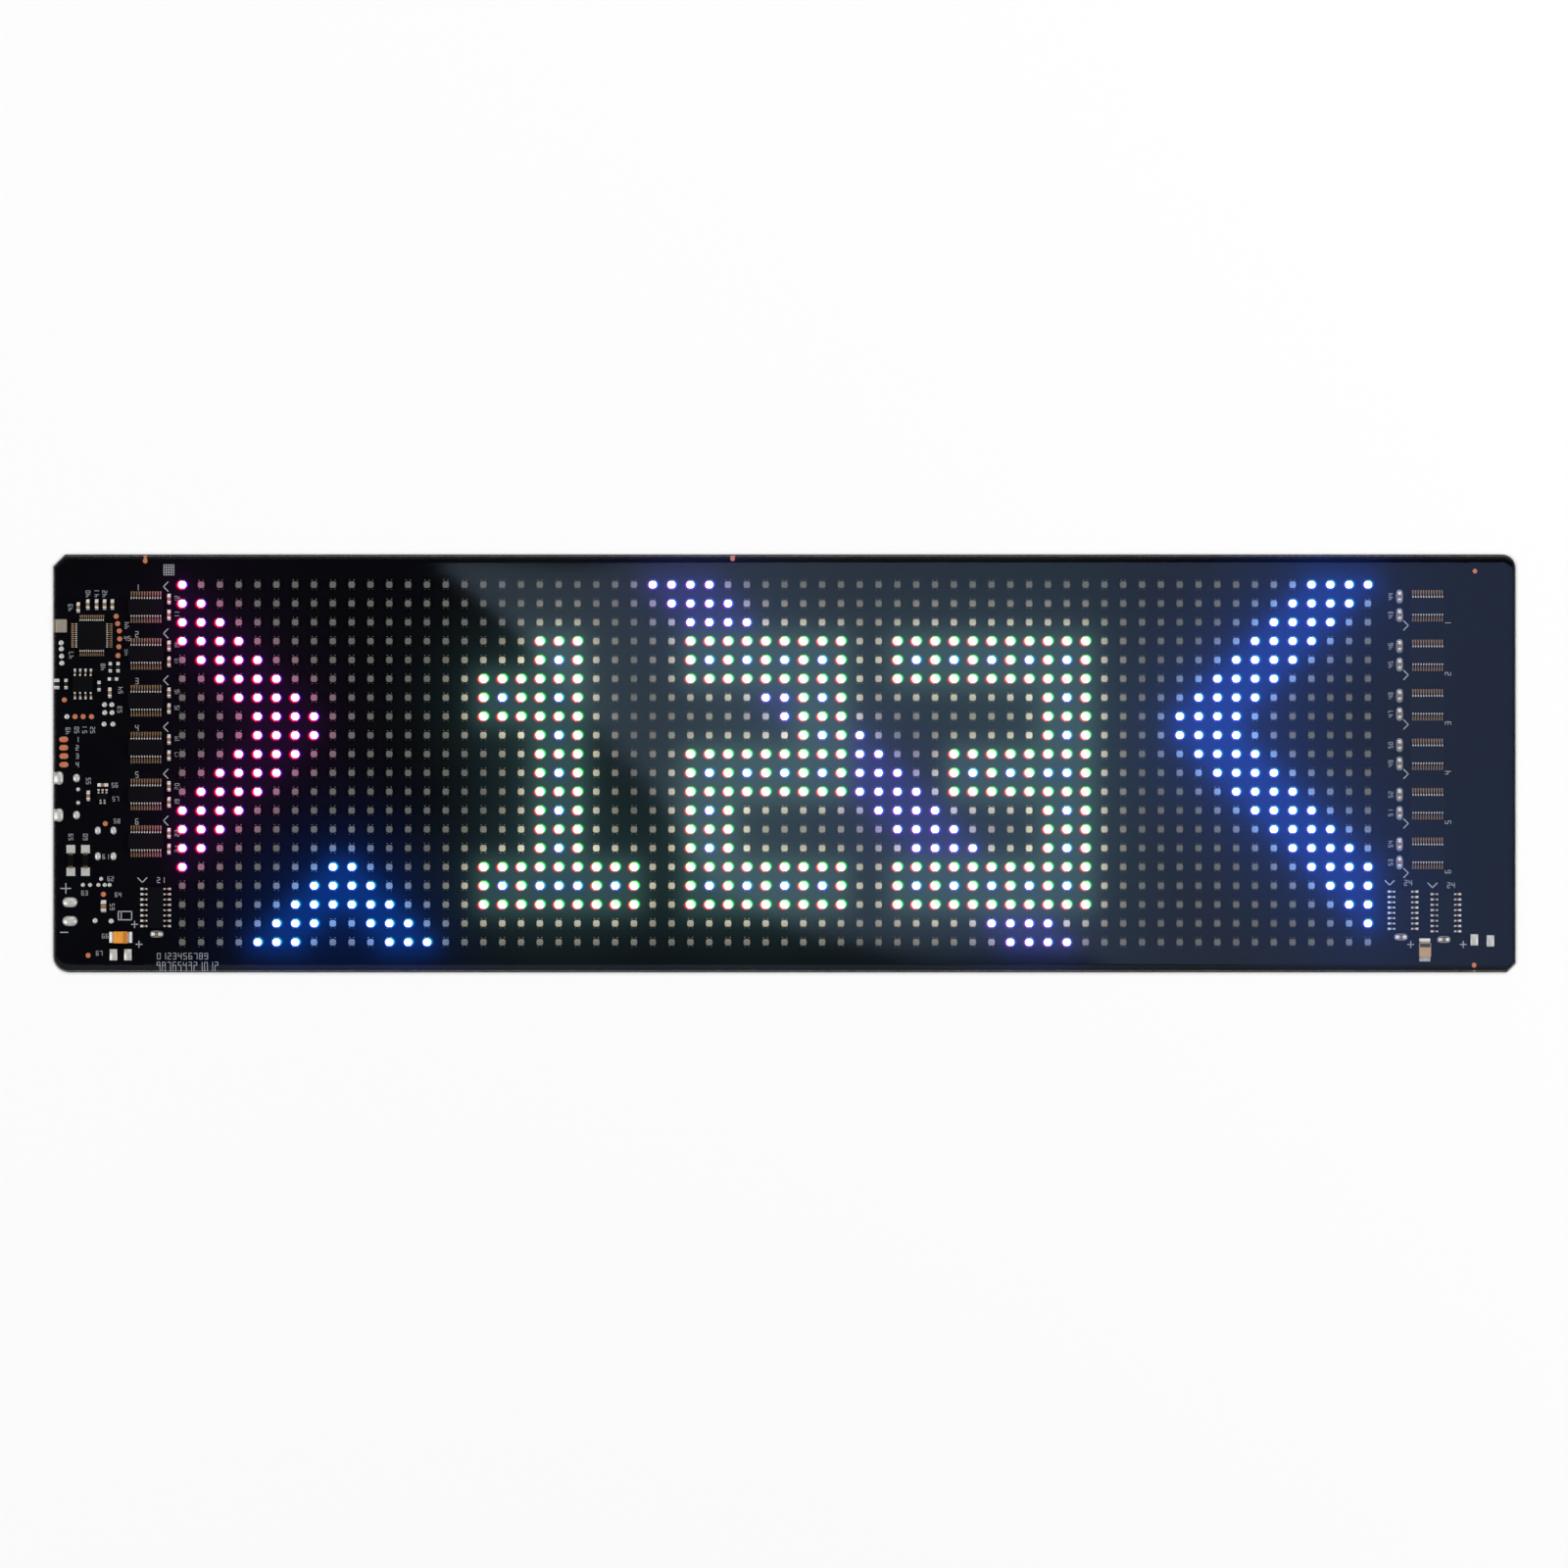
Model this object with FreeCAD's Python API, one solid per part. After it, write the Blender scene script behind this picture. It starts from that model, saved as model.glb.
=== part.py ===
import FreeCAD, Part
import math
import os

# A flexible LED screen: a thin black flexible board with a field of colour LEDs, its driver chips at
# both ends, and a thick clear resin poured over the whole front. It lies flat with its front up.
# Millimetres. +X runs along the screen, +Y up the picture that it shows, +Z out of its front.
# The origin is the middle of the board's back face, and the LED field lies a little to its left.
# Every sealed part stands on the board's top face, and the resin has a pocket for it, cut from the
# part's own size and one named clearance.

# Driving sizes: the LED field
LED_PITCH = 4.5
LED_COLUMNS = 64
LED_ROWS = 20
LED_SIDE = 2.0
LED_HEIGHT = 0.8

# Driving sizes: the board. The zones run from the outer LED centres to the board's edges.
LEFT_ZONE = 31.0
RIGHT_ZONE = 35.5
EDGE_ZONE = 7.25
BOARD_THICKNESS = 0.4
UPPER_LEFT_CHAMFER = 2.8
LOWER_RIGHT_CHAMFER = 2.2
UPPER_RIGHT_RADIUS = 3.2
LOWER_LEFT_RADIUS = 4.0

# Driving sizes: the clear resin coat, poured to this height over the tallest part
COAT_COVER = 0.9
COAT_INSET = 0.3
COAT_RIM_RADIUS = 1.9
POCKET_CLEARANCE = 0.05

# Driving sizes: chip bodies. The draft is how far each side slopes in from its parting line.
CHIP_DRAFT = 0.15
DRIVER_LENGTH, DRIVER_WIDTH, DRIVER_HEIGHT = 8.65, 3.9, 1.5
ROW_DRIVER_LENGTH, ROW_DRIVER_WIDTH, ROW_DRIVER_HEIGHT = 9.9, 3.9, 1.5
MEMORY_LENGTH, MEMORY_WIDTH, MEMORY_HEIGHT = 4.9, 3.9, 1.5
CONTROLLER_SIDE, CONTROLLER_HEIGHT = 7.0, 1.4
REGULATOR_LENGTH, REGULATOR_WIDTH, REGULATOR_HEIGHT = 2.9, 1.6, 1.1
DIODE_LENGTH, DIODE_WIDTH, DIODE_HEIGHT = 2.7, 1.6, 1.15

# Driving sizes: the other parts
TANTALUM_LENGTH, TANTALUM_WIDTH, TANTALUM_HEIGHT = 3.5, 2.9, 1.9
TANTALUM_TERMINAL_WIDTH, TANTALUM_TERMINAL_HEIGHT, TANTALUM_TERMINAL_THICKNESS = 2.2, 1.0, 0.15
CRYSTAL_LENGTH, CRYSTAL_WIDTH, CRYSTAL_HEIGHT = 3.2, 2.5, 0.8
CAPACITOR_LENGTH, CAPACITOR_WIDTH, CAPACITOR_HEIGHT = 1.6, 0.8, 0.8
RESISTOR_LENGTH, RESISTOR_WIDTH, RESISTOR_HEIGHT = 1.6, 0.8, 0.45
SUPPLY_CAPACITOR_LENGTH, SUPPLY_CAPACITOR_WIDTH, SUPPLY_CAPACITOR_HEIGHT = 2.0, 1.25, 1.0

# Driving sizes: solder beads, each as length, width and height
SHELL_BEAD = (1.9, 3.2, 0.6)
PEG_BEAD = (1.6, 2.0, 0.4)
PIN_BEAD = (1.0, 1.0, 0.3)
SWITCH_BEAD = (1.4, 1.9, 0.4)
POWER_BEAD = (3.6, 2.4, 0.7)
BEAD_CORNER = 0.3
BEAD_TOP_SHARE = 0.55

# Places in the end zones: out from the centre of the outer LED column, then the height on the board
DRIVERS_PER_SIDE = 6
LEFT_DRIVER_OUT, LEFT_DRIVER_TOP, LEFT_DRIVER_PITCH = 8.7, 37.4, 11.2
RIGHT_DRIVER_OUT, RIGHT_DRIVER_TOP, RIGHT_DRIVER_PITCH = 14.3, 37.7, 11.84
LEFT_DRIVER_CAPACITOR_OUT, LEFT_DRIVER_CAPACITOR_SPREAD = 3.2, 1.9
RIGHT_DRIVER_CAPACITOR_OUT, RIGHT_DRIVER_CAPACITOR_SPREAD = 7.6, 2.2
LEFT_ROW_DRIVER = (6.4, -34.45)
RIGHT_ROW_DRIVERS = [(8.45, -35.1), (18.7, -35.7)]
CONTROLLER = (21.65, 30.6)
MEMORY = (23.8, 19.0)
CRYSTAL = (28.85, 32.9)
REGULATOR = (19.1, -7.9)
DIODES = [(26.7, -23.2), (23.2, -23.2)]
LEFT_TANTALUM = (14.75, -41.6)
RIGHT_TANTALUM = (13.65, -44.6)
SUPPLY_CAPACITOR = (18.85, -34.15)
CONTROLLER_CAPACITORS = [(24.9, 37.3), (22.6, 38.0), (20.5, 38.0), (18.6, 38.0), (16.75, 38.0)]
UPRIGHT_CAPACITORS = [(17.35, 16.9), (22.5, -7.75)]
LEVEL_CAPACITORS = [(19.05, -5.15), (6.15, -40.8)]
RIGHT_LEVEL_CAPACITORS = [(7.95, -41.5), (18.2, -42.1)]
UPRIGHT_RESISTORS = [(17.25, 23.0), (15.4, 23.0), (19.95, 18.5), (29.8, 19.0), (27.85, 19.0)]
LEVEL_RESISTORS = [(16.6, 20.2)]
SHELL_BEADS = [(29.45, -3.5), (29.45, -12.35)]
PEG_BEADS = [(25.35, -3.5), (25.35, -12.35)]
PIN_BEADS = [(24.95, -6.2), (24.95, -9.4)]
SWITCH_BEADS = [(20.25, -16.05), (16.5, -16.05), (20.25, -22.2), (16.5, -22.2)]
POWER_BEADS = [(26.9, -33.2), (26.9, -37.7)]

# Worked out from the driving sizes
FIELD_LENGTH = (LED_COLUMNS - 1) * LED_PITCH
FIELD_WIDTH = (LED_ROWS - 1) * LED_PITCH
FIELD_MIDDLE = (LEFT_ZONE - RIGHT_ZONE) / 2
BOARD_LENGTH = LEFT_ZONE + FIELD_LENGTH + RIGHT_ZONE
BOARD_WIDTH = FIELD_WIDTH + 2 * EDGE_ZONE
BOARD_TOP = BOARD_THICKNESS
TALLEST_PART = max(LED_HEIGHT, DRIVER_HEIGHT, ROW_DRIVER_HEIGHT, MEMORY_HEIGHT, CONTROLLER_HEIGHT,
                   REGULATOR_HEIGHT, DIODE_HEIGHT, TANTALUM_HEIGHT, CRYSTAL_HEIGHT,
                   CAPACITOR_HEIGHT, RESISTOR_HEIGHT, SUPPLY_CAPACITOR_HEIGHT)
COAT_THICKNESS = TALLEST_PART + COAT_COVER
# A 45-degree chamfer gets this much shorter, in each direction, for each millimetre of inset
CHAMFER_LOSS = 2 - math.sqrt(2)

# Two heights nearer than this are one height
LEVEL_TOLERANCE = 0.001

Vector = FreeCAD.Vector
Z_AXIS = Vector(0, 0, 1)
pockets = []


def left(place):
    """The point on the board, in X and Y, of a place in the left end zone."""
    return FIELD_MIDDLE - FIELD_LENGTH / 2 - place[0], place[1]


def right(place):
    """The point on the board, in X and Y, of a place in the right end zone."""
    return FIELD_MIDDLE + FIELD_LENGTH / 2 + place[0], place[1]


def save(name, shape):
    """Writes one node's solids to its own file."""
    shape.exportStep(os.path.join("parts", name + ".step"))


def save_group(name, shapes):
    """Writes like pieces to one file, each still a solid of its own."""
    save(name, Part.makeCompound(shapes))


def block(length, width, height, point):
    """A plain block that stands on the board with its middle over the point."""
    corner = Vector(point[0] - length / 2, point[1] - width / 2, BOARD_TOP)
    return Part.makeBox(length, width, height, corner)


def pocket(length, width, height, point):
    """Notes the room that the resin leaves round a part of this size."""
    spare = 2 * POCKET_CLEARANCE
    pockets.append(block(length + spare, width + spare, height + POCKET_CLEARANCE, point))


def standing(solid, point, upright):
    """Moves a part made at the middle of the board to its point, turned a quarter if it is upright."""
    placed = solid.copy()
    if upright:
        placed.rotate(Vector(0, 0, 0), Z_AXIS, 90)
    placed.translate(Vector(point[0], point[1], 0))
    return placed


def seated(solid, point, upright):
    """The same, and notes the pocket that the resin leaves round it."""
    placed = standing(solid, point, upright)
    box = placed.BoundBox
    pocket(box.XLength, box.YLength, box.ZMax - BOARD_TOP, (box.Center.x, box.Center.y))
    return placed


def chip_body(length, width, height):
    """A moulded chip body: all four sides slope in, above and below the parting line at half height."""
    half_height = height / 2

    def outline(inset, z):
        x, y = length / 2 - inset, width / 2 - inset
        corners = [Vector(-x, -y, z), Vector(x, -y, z), Vector(x, y, z), Vector(-x, y, z)]
        return Part.makePolygon(corners + corners[:1])

    middle = outline(0, BOARD_TOP + half_height)
    lower = Part.makeLoft([outline(CHIP_DRAFT, BOARD_TOP), middle], True, True)
    upper = Part.makeLoft([middle, outline(CHIP_DRAFT, BOARD_TOP + height)], True, True)
    return lower.fuse(upper)


def tantalum_capacitor():
    """A moulded capacitor with a bent terminal strip standing against each end."""
    body = block(TANTALUM_LENGTH, TANTALUM_WIDTH, TANTALUM_HEIGHT, (0, 0))
    reach = TANTALUM_LENGTH / 2
    for side in (-1, 1):
        middle = side * (reach + TANTALUM_TERMINAL_THICKNESS / 2)
        strip = block(TANTALUM_TERMINAL_THICKNESS, TANTALUM_TERMINAL_WIDTH,
                      TANTALUM_TERMINAL_HEIGHT, (middle, 0))
        body = body.fuse(strip)
    return body


def solder_bead(size):
    """A bead of solder: an eight-sided foot that narrows to a small flat top."""
    length, width, height = size

    def outline(share, z):
        x, y = length / 2 * share, width / 2 * share
        cut_x, cut_y = 2 * x * BEAD_CORNER, 2 * y * BEAD_CORNER
        points = [(x, y - cut_y), (x - cut_x, y), (cut_x - x, y), (-x, y - cut_y),
                  (-x, cut_y - y), (cut_x - x, -y), (x - cut_x, -y), (x, cut_y - y)]
        corners = [Vector(px, py, z) for px, py in points]
        return Part.makePolygon(corners + corners[:1])

    return Part.makeLoft([outline(1, BOARD_TOP), outline(BEAD_TOP_SHARE, BOARD_TOP + height)],
                         True, True)


def board_outline(inset, z):
    """The board's outline, inset and at one height: two corners cut at 45 degrees, and two rounded."""
    x, y = BOARD_LENGTH / 2 - inset, BOARD_WIDTH / 2 - inset
    upper_cut = UPPER_LEFT_CHAMFER - CHAMFER_LOSS * inset
    lower_cut = LOWER_RIGHT_CHAMFER - CHAMFER_LOSS * inset
    upper_round = UPPER_RIGHT_RADIUS - inset
    lower_round = LOWER_LEFT_RADIUS - inset
    bow = 1 - math.sqrt(0.5)

    def point(px, py):
        return Vector(px, py, z)

    def line(start, end):
        return Part.LineSegment(start, end).toShape()

    top_left, top_right = point(upper_cut - x, y), point(x - upper_round, y)
    right_top, right_low = point(x, y - upper_round), point(x, lower_cut - y)
    low_right, low_left = point(x - lower_cut, -y), point(lower_round - x, -y)
    left_low, left_top = point(-x, lower_round - y), point(-x, y - upper_cut)
    upper_middle = point(x - upper_round * bow, y - upper_round * bow)
    lower_middle = point(lower_round * bow - x, lower_round * bow - y)
    edges = [line(top_left, top_right), Part.Arc(top_right, upper_middle, right_top).toShape(),
             line(right_top, right_low), line(right_low, low_right), line(low_right, low_left),
             Part.Arc(low_left, lower_middle, left_low).toShape(), line(left_low, left_top),
             line(left_top, top_left)]
    return Part.Wire(edges)


def build_board():
    """The flexible board."""
    save("flex_board", Part.Face(board_outline(0, 0)).extrude(Z_AXIS * BOARD_THICKNESS))


def build_leds():
    """One group of LED packages for each row, counted from the top. The resin runs between the rows."""
    for row in range(LED_ROWS):
        y = FIELD_WIDTH / 2 - row * LED_PITCH
        first = FIELD_MIDDLE - FIELD_LENGTH / 2
        columns = [first + column * LED_PITCH for column in range(LED_COLUMNS)]
        leds = [block(LED_SIDE, LED_SIDE, LED_HEIGHT, (x, y)) for x in columns]
        save_group(f"led_row_{row + 1:02d}", leds)
        pocket(FIELD_LENGTH + LED_SIDE, LED_SIDE, LED_HEIGHT, (FIELD_MIDDLE, y))


def build_drivers():
    """The column drivers: a stack of six at each end, with two small capacitors beside each.

    One channel in the resin holds all the small capacitors of a stack."""
    body = chip_body(DRIVER_LENGTH, DRIVER_WIDTH, DRIVER_HEIGHT)
    capacitor = block(CAPACITOR_LENGTH, CAPACITOR_WIDTH, CAPACITOR_HEIGHT, (0, 0))
    stacks = [
        ("left", left, LEFT_DRIVER_OUT, LEFT_DRIVER_TOP, LEFT_DRIVER_PITCH,
         LEFT_DRIVER_CAPACITOR_OUT, LEFT_DRIVER_CAPACITOR_SPREAD),
        ("right", right, RIGHT_DRIVER_OUT, RIGHT_DRIVER_TOP, RIGHT_DRIVER_PITCH,
         RIGHT_DRIVER_CAPACITOR_OUT, RIGHT_DRIVER_CAPACITOR_SPREAD),
    ]
    for side, place, out, top, pitch, capacitor_out, spread in stacks:
        capacitors = []
        for number in range(DRIVERS_PER_SIDE):
            y = top - number * pitch
            save(f"driver_{side}_{number + 1}", seated(body, place((out, y)), False))
            for offset in (spread, -spread):
                capacitors.append(standing(capacitor, place((capacitor_out, y + offset)), True))
        save_group(f"driver_capacitors_{side}", capacitors)
        stack = (DRIVERS_PER_SIDE - 1) * pitch
        column = stack + 2 * spread + CAPACITOR_LENGTH
        pocket(CAPACITOR_WIDTH, column, CAPACITOR_HEIGHT, place((capacitor_out, top - stack / 2)))


def build_row_drivers():
    """The three row drivers, standing upright below the column drivers."""
    body = chip_body(ROW_DRIVER_LENGTH, ROW_DRIVER_WIDTH, ROW_DRIVER_HEIGHT)
    save("row_driver_left", seated(body, left(LEFT_ROW_DRIVER), True))
    for number, place in enumerate(RIGHT_ROW_DRIVERS):
        save(f"row_driver_right_{number + 1}", seated(body, right(place), True))


def build_controller():
    """The controller chip with its crystal and its memory chip, and the small voltage regulator."""
    controller = chip_body(CONTROLLER_SIDE, CONTROLLER_SIDE, CONTROLLER_HEIGHT)
    memory = chip_body(MEMORY_LENGTH, MEMORY_WIDTH, MEMORY_HEIGHT)
    regulator = chip_body(REGULATOR_LENGTH, REGULATOR_WIDTH, REGULATOR_HEIGHT)
    crystal = block(CRYSTAL_LENGTH, CRYSTAL_WIDTH, CRYSTAL_HEIGHT, (0, 0))
    save("controller", seated(controller, left(CONTROLLER), False))
    save("memory_chip", seated(memory, left(MEMORY), False))
    save("regulator", seated(regulator, left(REGULATOR), False))
    save("crystal", seated(crystal, left(CRYSTAL), True))


def build_power_parts():
    """The two moulded tantalum capacitors and the two diodes of the supply."""
    tantalum = tantalum_capacitor()
    save("tantalum_capacitor_left", seated(tantalum, left(LEFT_TANTALUM), False))
    save("tantalum_capacitor_right", seated(tantalum, right(RIGHT_TANTALUM), True))
    diode = chip_body(DIODE_LENGTH, DIODE_WIDTH, DIODE_HEIGHT)
    save_group("diodes", [seated(diode, left(place), True) for place in DIODES])


def build_small_parts():
    """The ceramic capacitors and resistors round the controller and the row drivers."""
    capacitor = block(CAPACITOR_LENGTH, CAPACITOR_WIDTH, CAPACITOR_HEIGHT, (0, 0))
    resistor = block(RESISTOR_LENGTH, RESISTOR_WIDTH, RESISTOR_HEIGHT, (0, 0))
    supply = block(SUPPLY_CAPACITOR_LENGTH, SUPPLY_CAPACITOR_WIDTH, SUPPLY_CAPACITOR_HEIGHT, (0, 0))
    upright = CONTROLLER_CAPACITORS + UPRIGHT_CAPACITORS
    left_parts = [seated(capacitor, left(place), True) for place in upright]
    left_parts += [seated(capacitor, left(place), False) for place in LEVEL_CAPACITORS]
    left_parts.append(seated(supply, left(SUPPLY_CAPACITOR), True))
    right_parts = [seated(capacitor, right(place), False) for place in RIGHT_LEVEL_CAPACITORS]
    resistors = [seated(resistor, left(place), True) for place in UPRIGHT_RESISTORS]
    resistors += [seated(resistor, left(place), False) for place in LEVEL_RESISTORS]
    save_group("ceramic_capacitors_left", left_parts)
    save_group("ceramic_capacitors_right", right_parts)
    save_group("resistors", resistors)


def build_solder():
    """The solder on the legs of the socket and the button, and the two supply leads' solder."""
    socket = [(SHELL_BEAD, SHELL_BEADS), (PEG_BEAD, PEG_BEADS), (PIN_BEAD, PIN_BEADS)]
    beads = [seated(solder_bead(size), left(place), False) for size, places in socket
             for place in places]
    save_group("socket_solder", beads)
    switch = solder_bead(SWITCH_BEAD)
    save_group("button_solder", [seated(switch, left(place), False) for place in SWITCH_BEADS])
    power = solder_bead(POWER_BEAD)
    save_group("supply_solder", [seated(power, left(place), False) for place in POWER_BEADS])


def build_coat():
    """The poured resin: rounded over at its rim by surface tension, and hollow only round the parts."""
    slab = Part.Face(board_outline(COAT_INSET, BOARD_TOP)).extrude(Z_AXIS * COAT_THICKNESS)
    top = BOARD_TOP + COAT_THICKNESS
    rim = [edge for edge in slab.Edges if edge.BoundBox.ZMin > top - LEVEL_TOLERANCE]
    save("clear_coat", slab.makeFillet(COAT_RIM_RADIUS, rim).cut(pockets))


os.makedirs("parts", exist_ok=True)
build_board()
build_leds()
build_drivers()
build_row_drivers()
build_controller()
build_power_parts()
build_small_parts()
build_solder()
build_coat()
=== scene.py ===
import bpy
import math
import numpy as np
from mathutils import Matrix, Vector
from mathutils.geometry import delaunay_2d_cdt


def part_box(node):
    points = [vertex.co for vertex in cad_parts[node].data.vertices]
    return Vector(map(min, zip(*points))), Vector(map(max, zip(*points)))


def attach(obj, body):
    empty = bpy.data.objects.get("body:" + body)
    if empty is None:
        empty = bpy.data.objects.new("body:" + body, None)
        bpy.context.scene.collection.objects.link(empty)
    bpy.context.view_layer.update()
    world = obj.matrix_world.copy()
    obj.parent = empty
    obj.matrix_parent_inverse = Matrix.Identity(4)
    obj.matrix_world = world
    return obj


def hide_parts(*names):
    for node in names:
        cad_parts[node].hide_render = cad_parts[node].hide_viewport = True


# A flexible LED screen, lying flat with its lit front up. Sizes are in millimetres until a piece is
# made, and places come from the frame's solids. +X runs along the screen, +Y up its picture.

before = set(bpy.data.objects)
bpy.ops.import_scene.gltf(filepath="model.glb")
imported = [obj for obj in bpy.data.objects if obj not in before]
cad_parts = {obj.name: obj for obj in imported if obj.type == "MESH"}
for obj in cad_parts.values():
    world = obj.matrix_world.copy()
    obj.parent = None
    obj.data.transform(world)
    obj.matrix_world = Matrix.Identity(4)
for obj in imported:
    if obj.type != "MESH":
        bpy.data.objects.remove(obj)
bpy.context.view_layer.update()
MM = 0.001

LED_COLUMNS = 64
LED_ROWS = 20


def box_of(node):
    """The lowest and highest corner of a node, in millimetres."""
    low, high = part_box(node)
    return np.array(low) / MM, np.array(high) / MM


def middle_and_size(box):
    """The middle of a box in X and Y, and its size."""
    low, high = box
    return (low[:2] + high[:2]) / 2, high - low


board_low, board_high = box_of("flex_board")
coat_low, coat_high = box_of("clear_coat")
row_low, row_high = box_of("led_row_01")
last_low = box_of(f"led_row_{LED_ROWS:02d}")[0]
BOARD_TOP = board_high[2]
LED_SIDE = row_high[1] - row_low[1]
LED_HEIGHT = row_high[2] - BOARD_TOP
LEFT_END = row_low[0] + LED_SIDE / 2
RIGHT_END = row_high[0] - LED_SIDE / 2
TOP_ROW = row_low[1] + LED_SIDE / 2
PITCH = (TOP_ROW - last_low[1] - LED_SIDE / 2) / (LED_ROWS - 1)

# The board's corners, as on the solid: two cut and two rounded
UPPER_LEFT_CHAMFER = 2.8
LOWER_RIGHT_CHAMFER = 2.2
UPPER_RIGHT_RADIUS = 3.2
LOWER_LEFT_RADIUS = 4.0


# The picture that the screen shows

OFF, MAGENTA, AZURE, BLUE, VIOLET, WHITE, SKY = range(7)

# Each colour: the lens's own colour and strength, its red, green and blue dies, what it spills on the
# black board between the LEDs, and what it throws on the metal and the unlit lenses near it
LIGHTS = {
    MAGENTA: ("magenta", "#FFC8F8", 5.0, (1.0, 0.0, 0.45), (0.012, 0.0005, 0.016), (1.0, 0.05, 0.5)),
    AZURE: ("azure", "#C8E4FF", 5.0, (0.0, 0.18, 1.0), (0.001, 0.032, 0.220), (0.25, 0.9, 2.6)),
    BLUE: ("blue", "#C8DCFF", 5.0, (0.02, 0.16, 1.0), (0.003, 0.034, 0.290), (0.35, 1.0, 3.0)),
    VIOLET: ("violet", "#DCD4FF", 5.0, (0.10, 0.06, 1.0), (0.018, 0.016, 0.160), (0.7, 0.6, 1.8)),
    WHITE: ("white", "#F8FFF0", 5.0, (0.8, 0.8, 0.25), (0.036, 0.078, 0.070), (2.2, 2.0, 1.3)),
    SKY: ("sky", "#D8ECFF", 5.0, (0.06, 0.26, 1.0), (0.016, 0.060, 0.125), (0.6, 1.1, 1.7)),
}

# Numerals three LEDs thick, as bars: first column, first row, last column, last row
NUMERAL_TOP_ROW = 3
ONE = [(3, 0, 5, 14), (0, 2, 2, 4), (0, 12, 8, 14)]
TWO = [(0, 0, 8, 2), (6, 0, 8, 8), (0, 6, 8, 8), (0, 6, 2, 14), (0, 12, 8, 14)]
THREE = [(0, 0, 10, 2), (3, 6, 10, 8), (0, 12, 10, 14), (8, 0, 10, 14)]
NUMERALS = [(16, ONE), (27, TWO), (38, THREE)]


def draw_numeral(picture, first_column, bars):
    """Lights a numeral's bars, then makes every second LED along each bar's middle sky blue."""
    for left, top, right, bottom in bars:
        rows = slice(NUMERAL_TOP_ROW + top, NUMERAL_TOP_ROW + bottom + 1)
        picture[rows, first_column + left:first_column + right + 1] = WHITE
    for left, top, right, bottom in bars:
        if bottom - top > right - left:
            rows = slice(NUMERAL_TOP_ROW + top + 1, NUMERAL_TOP_ROW + bottom, 2)
            picture[rows, first_column + left + 1] = SKY
        else:
            row = NUMERAL_TOP_ROW + top + 1
            picture[row, first_column + left + 1:first_column + right:2] = SKY


# The slanted band's first column, the row where the arrowheads end, how thick both are, and the small
# arrow's middle, with the row of it from which a gap opens
BAND_COLUMN, TURN_ROW, THICKNESS = 25, 15, 4
SMALL_ARROW_MIDDLE, GAP_ROW = 9, 3


def lit_picture():
    """A slanted band, an arrowhead at each end, a small raised arrow below, and the numerals."""
    picture = np.full((LED_ROWS, LED_COLUMNS), OFF)
    for row in range(LED_ROWS):
        picture[row, BAND_COLUMN + row:BAND_COLUMN + row + THICKNESS] = VIOLET
        reach = min(row, TURN_ROW - row)
        picture[row, max(reach - THICKNESS + 1, 0):max(reach + 1, 0)] = MAGENTA
        if row < LED_ROWS - 1:
            first = LED_COLUMNS - THICKNESS - reach
            picture[row, first:first + THICKNESS] = BLUE
        if row >= TURN_ROW:
            half = row - TURN_ROW + 1
            picture[row, SMALL_ARROW_MIDDLE - half:SMALL_ARROW_MIDDLE + half] = AZURE
            gap = half - GAP_ROW
            if gap > 0:
                picture[row, SMALL_ARROW_MIDDLE - gap:SMALL_ARROW_MIDDLE + gap] = OFF
    for first_column, bars in NUMERALS:
        draw_numeral(picture, first_column, bars)
    return picture


PICTURE = lit_picture()
ROWS, COLUMNS = np.mgrid[0:LED_ROWS, 0:LED_COLUMNS]
LED_X = LEFT_END + COLUMNS * PITCH
LED_Y = TOP_ROW - ROWS * PITCH

# How far the light spills over the board: a near part, and a far part that is much weaker
NEAR_SPILL, FAR_SPILL = 2.6, 11.0
NEAR_SHARE, FAR_SHARE = 0.34, 0.018
POINTS_AT_ONCE = 20000

# Metal and unlit lenses catch more of it, over a wider ring
SHINE_REACH, SHINE_SHARE = 4.6, 0.022


def spill_at(points, shiny):
    """The light of all lit LEDs that each point sends back, as red, green and blue."""
    lit = PICTURE != OFF
    lamps = np.column_stack([LED_X[lit], LED_Y[lit]])
    colours = np.array([LIGHTS[kind][5 if shiny else 4] for kind in PICTURE[lit]])
    found = np.zeros((len(points), 3))
    for start in range(0, len(points), POINTS_AT_ONCE):
        part = np.asarray(points[start:start + POINTS_AT_ONCE])
        gap = (part[:, None, 0] - lamps[:, 0]) ** 2 + (part[:, None, 1] - lamps[:, 1]) ** 2
        if shiny:
            share = SHINE_SHARE * np.exp(-gap / (2 * SHINE_REACH ** 2))
        else:
            share = (NEAR_SHARE * np.exp(-gap / (2 * NEAR_SPILL ** 2))
                     + FAR_SHARE * np.exp(-gap / (2 * FAR_SPILL ** 2)))
        found[start:start + POINTS_AT_ONCE] = share @ colours
    return found


# Materials

def linear(code):
    """An sRGB hex colour as linear red, green, blue and an alpha of one."""
    parts = [int(code[i:i + 2], 16) / 255 for i in (1, 3, 5)]
    return [p / 12.92 if p <= 0.04045 else ((p + 0.055) / 1.055) ** 2.4 for p in parts] + [1.0]


def add(tree, kind, inputs=(), **settings):
    """Adds a shader node and sets it. Its inputs, by name or in order, are values, outputs to link to,
    or nodes, which are linked by their first output."""
    made = tree.nodes.new("ShaderNode" + kind)
    for name, value in settings.items():
        setattr(made, name, value)
    for name, value in (inputs.items() if isinstance(inputs, dict) else enumerate(inputs)):
        if isinstance(value, bpy.types.Node):
            value = value.outputs[0]
        if isinstance(value, bpy.types.NodeSocket):
            tree.links.new(value, made.inputs[name])
        else:
            made.inputs[name].default_value = value
    return made


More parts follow.
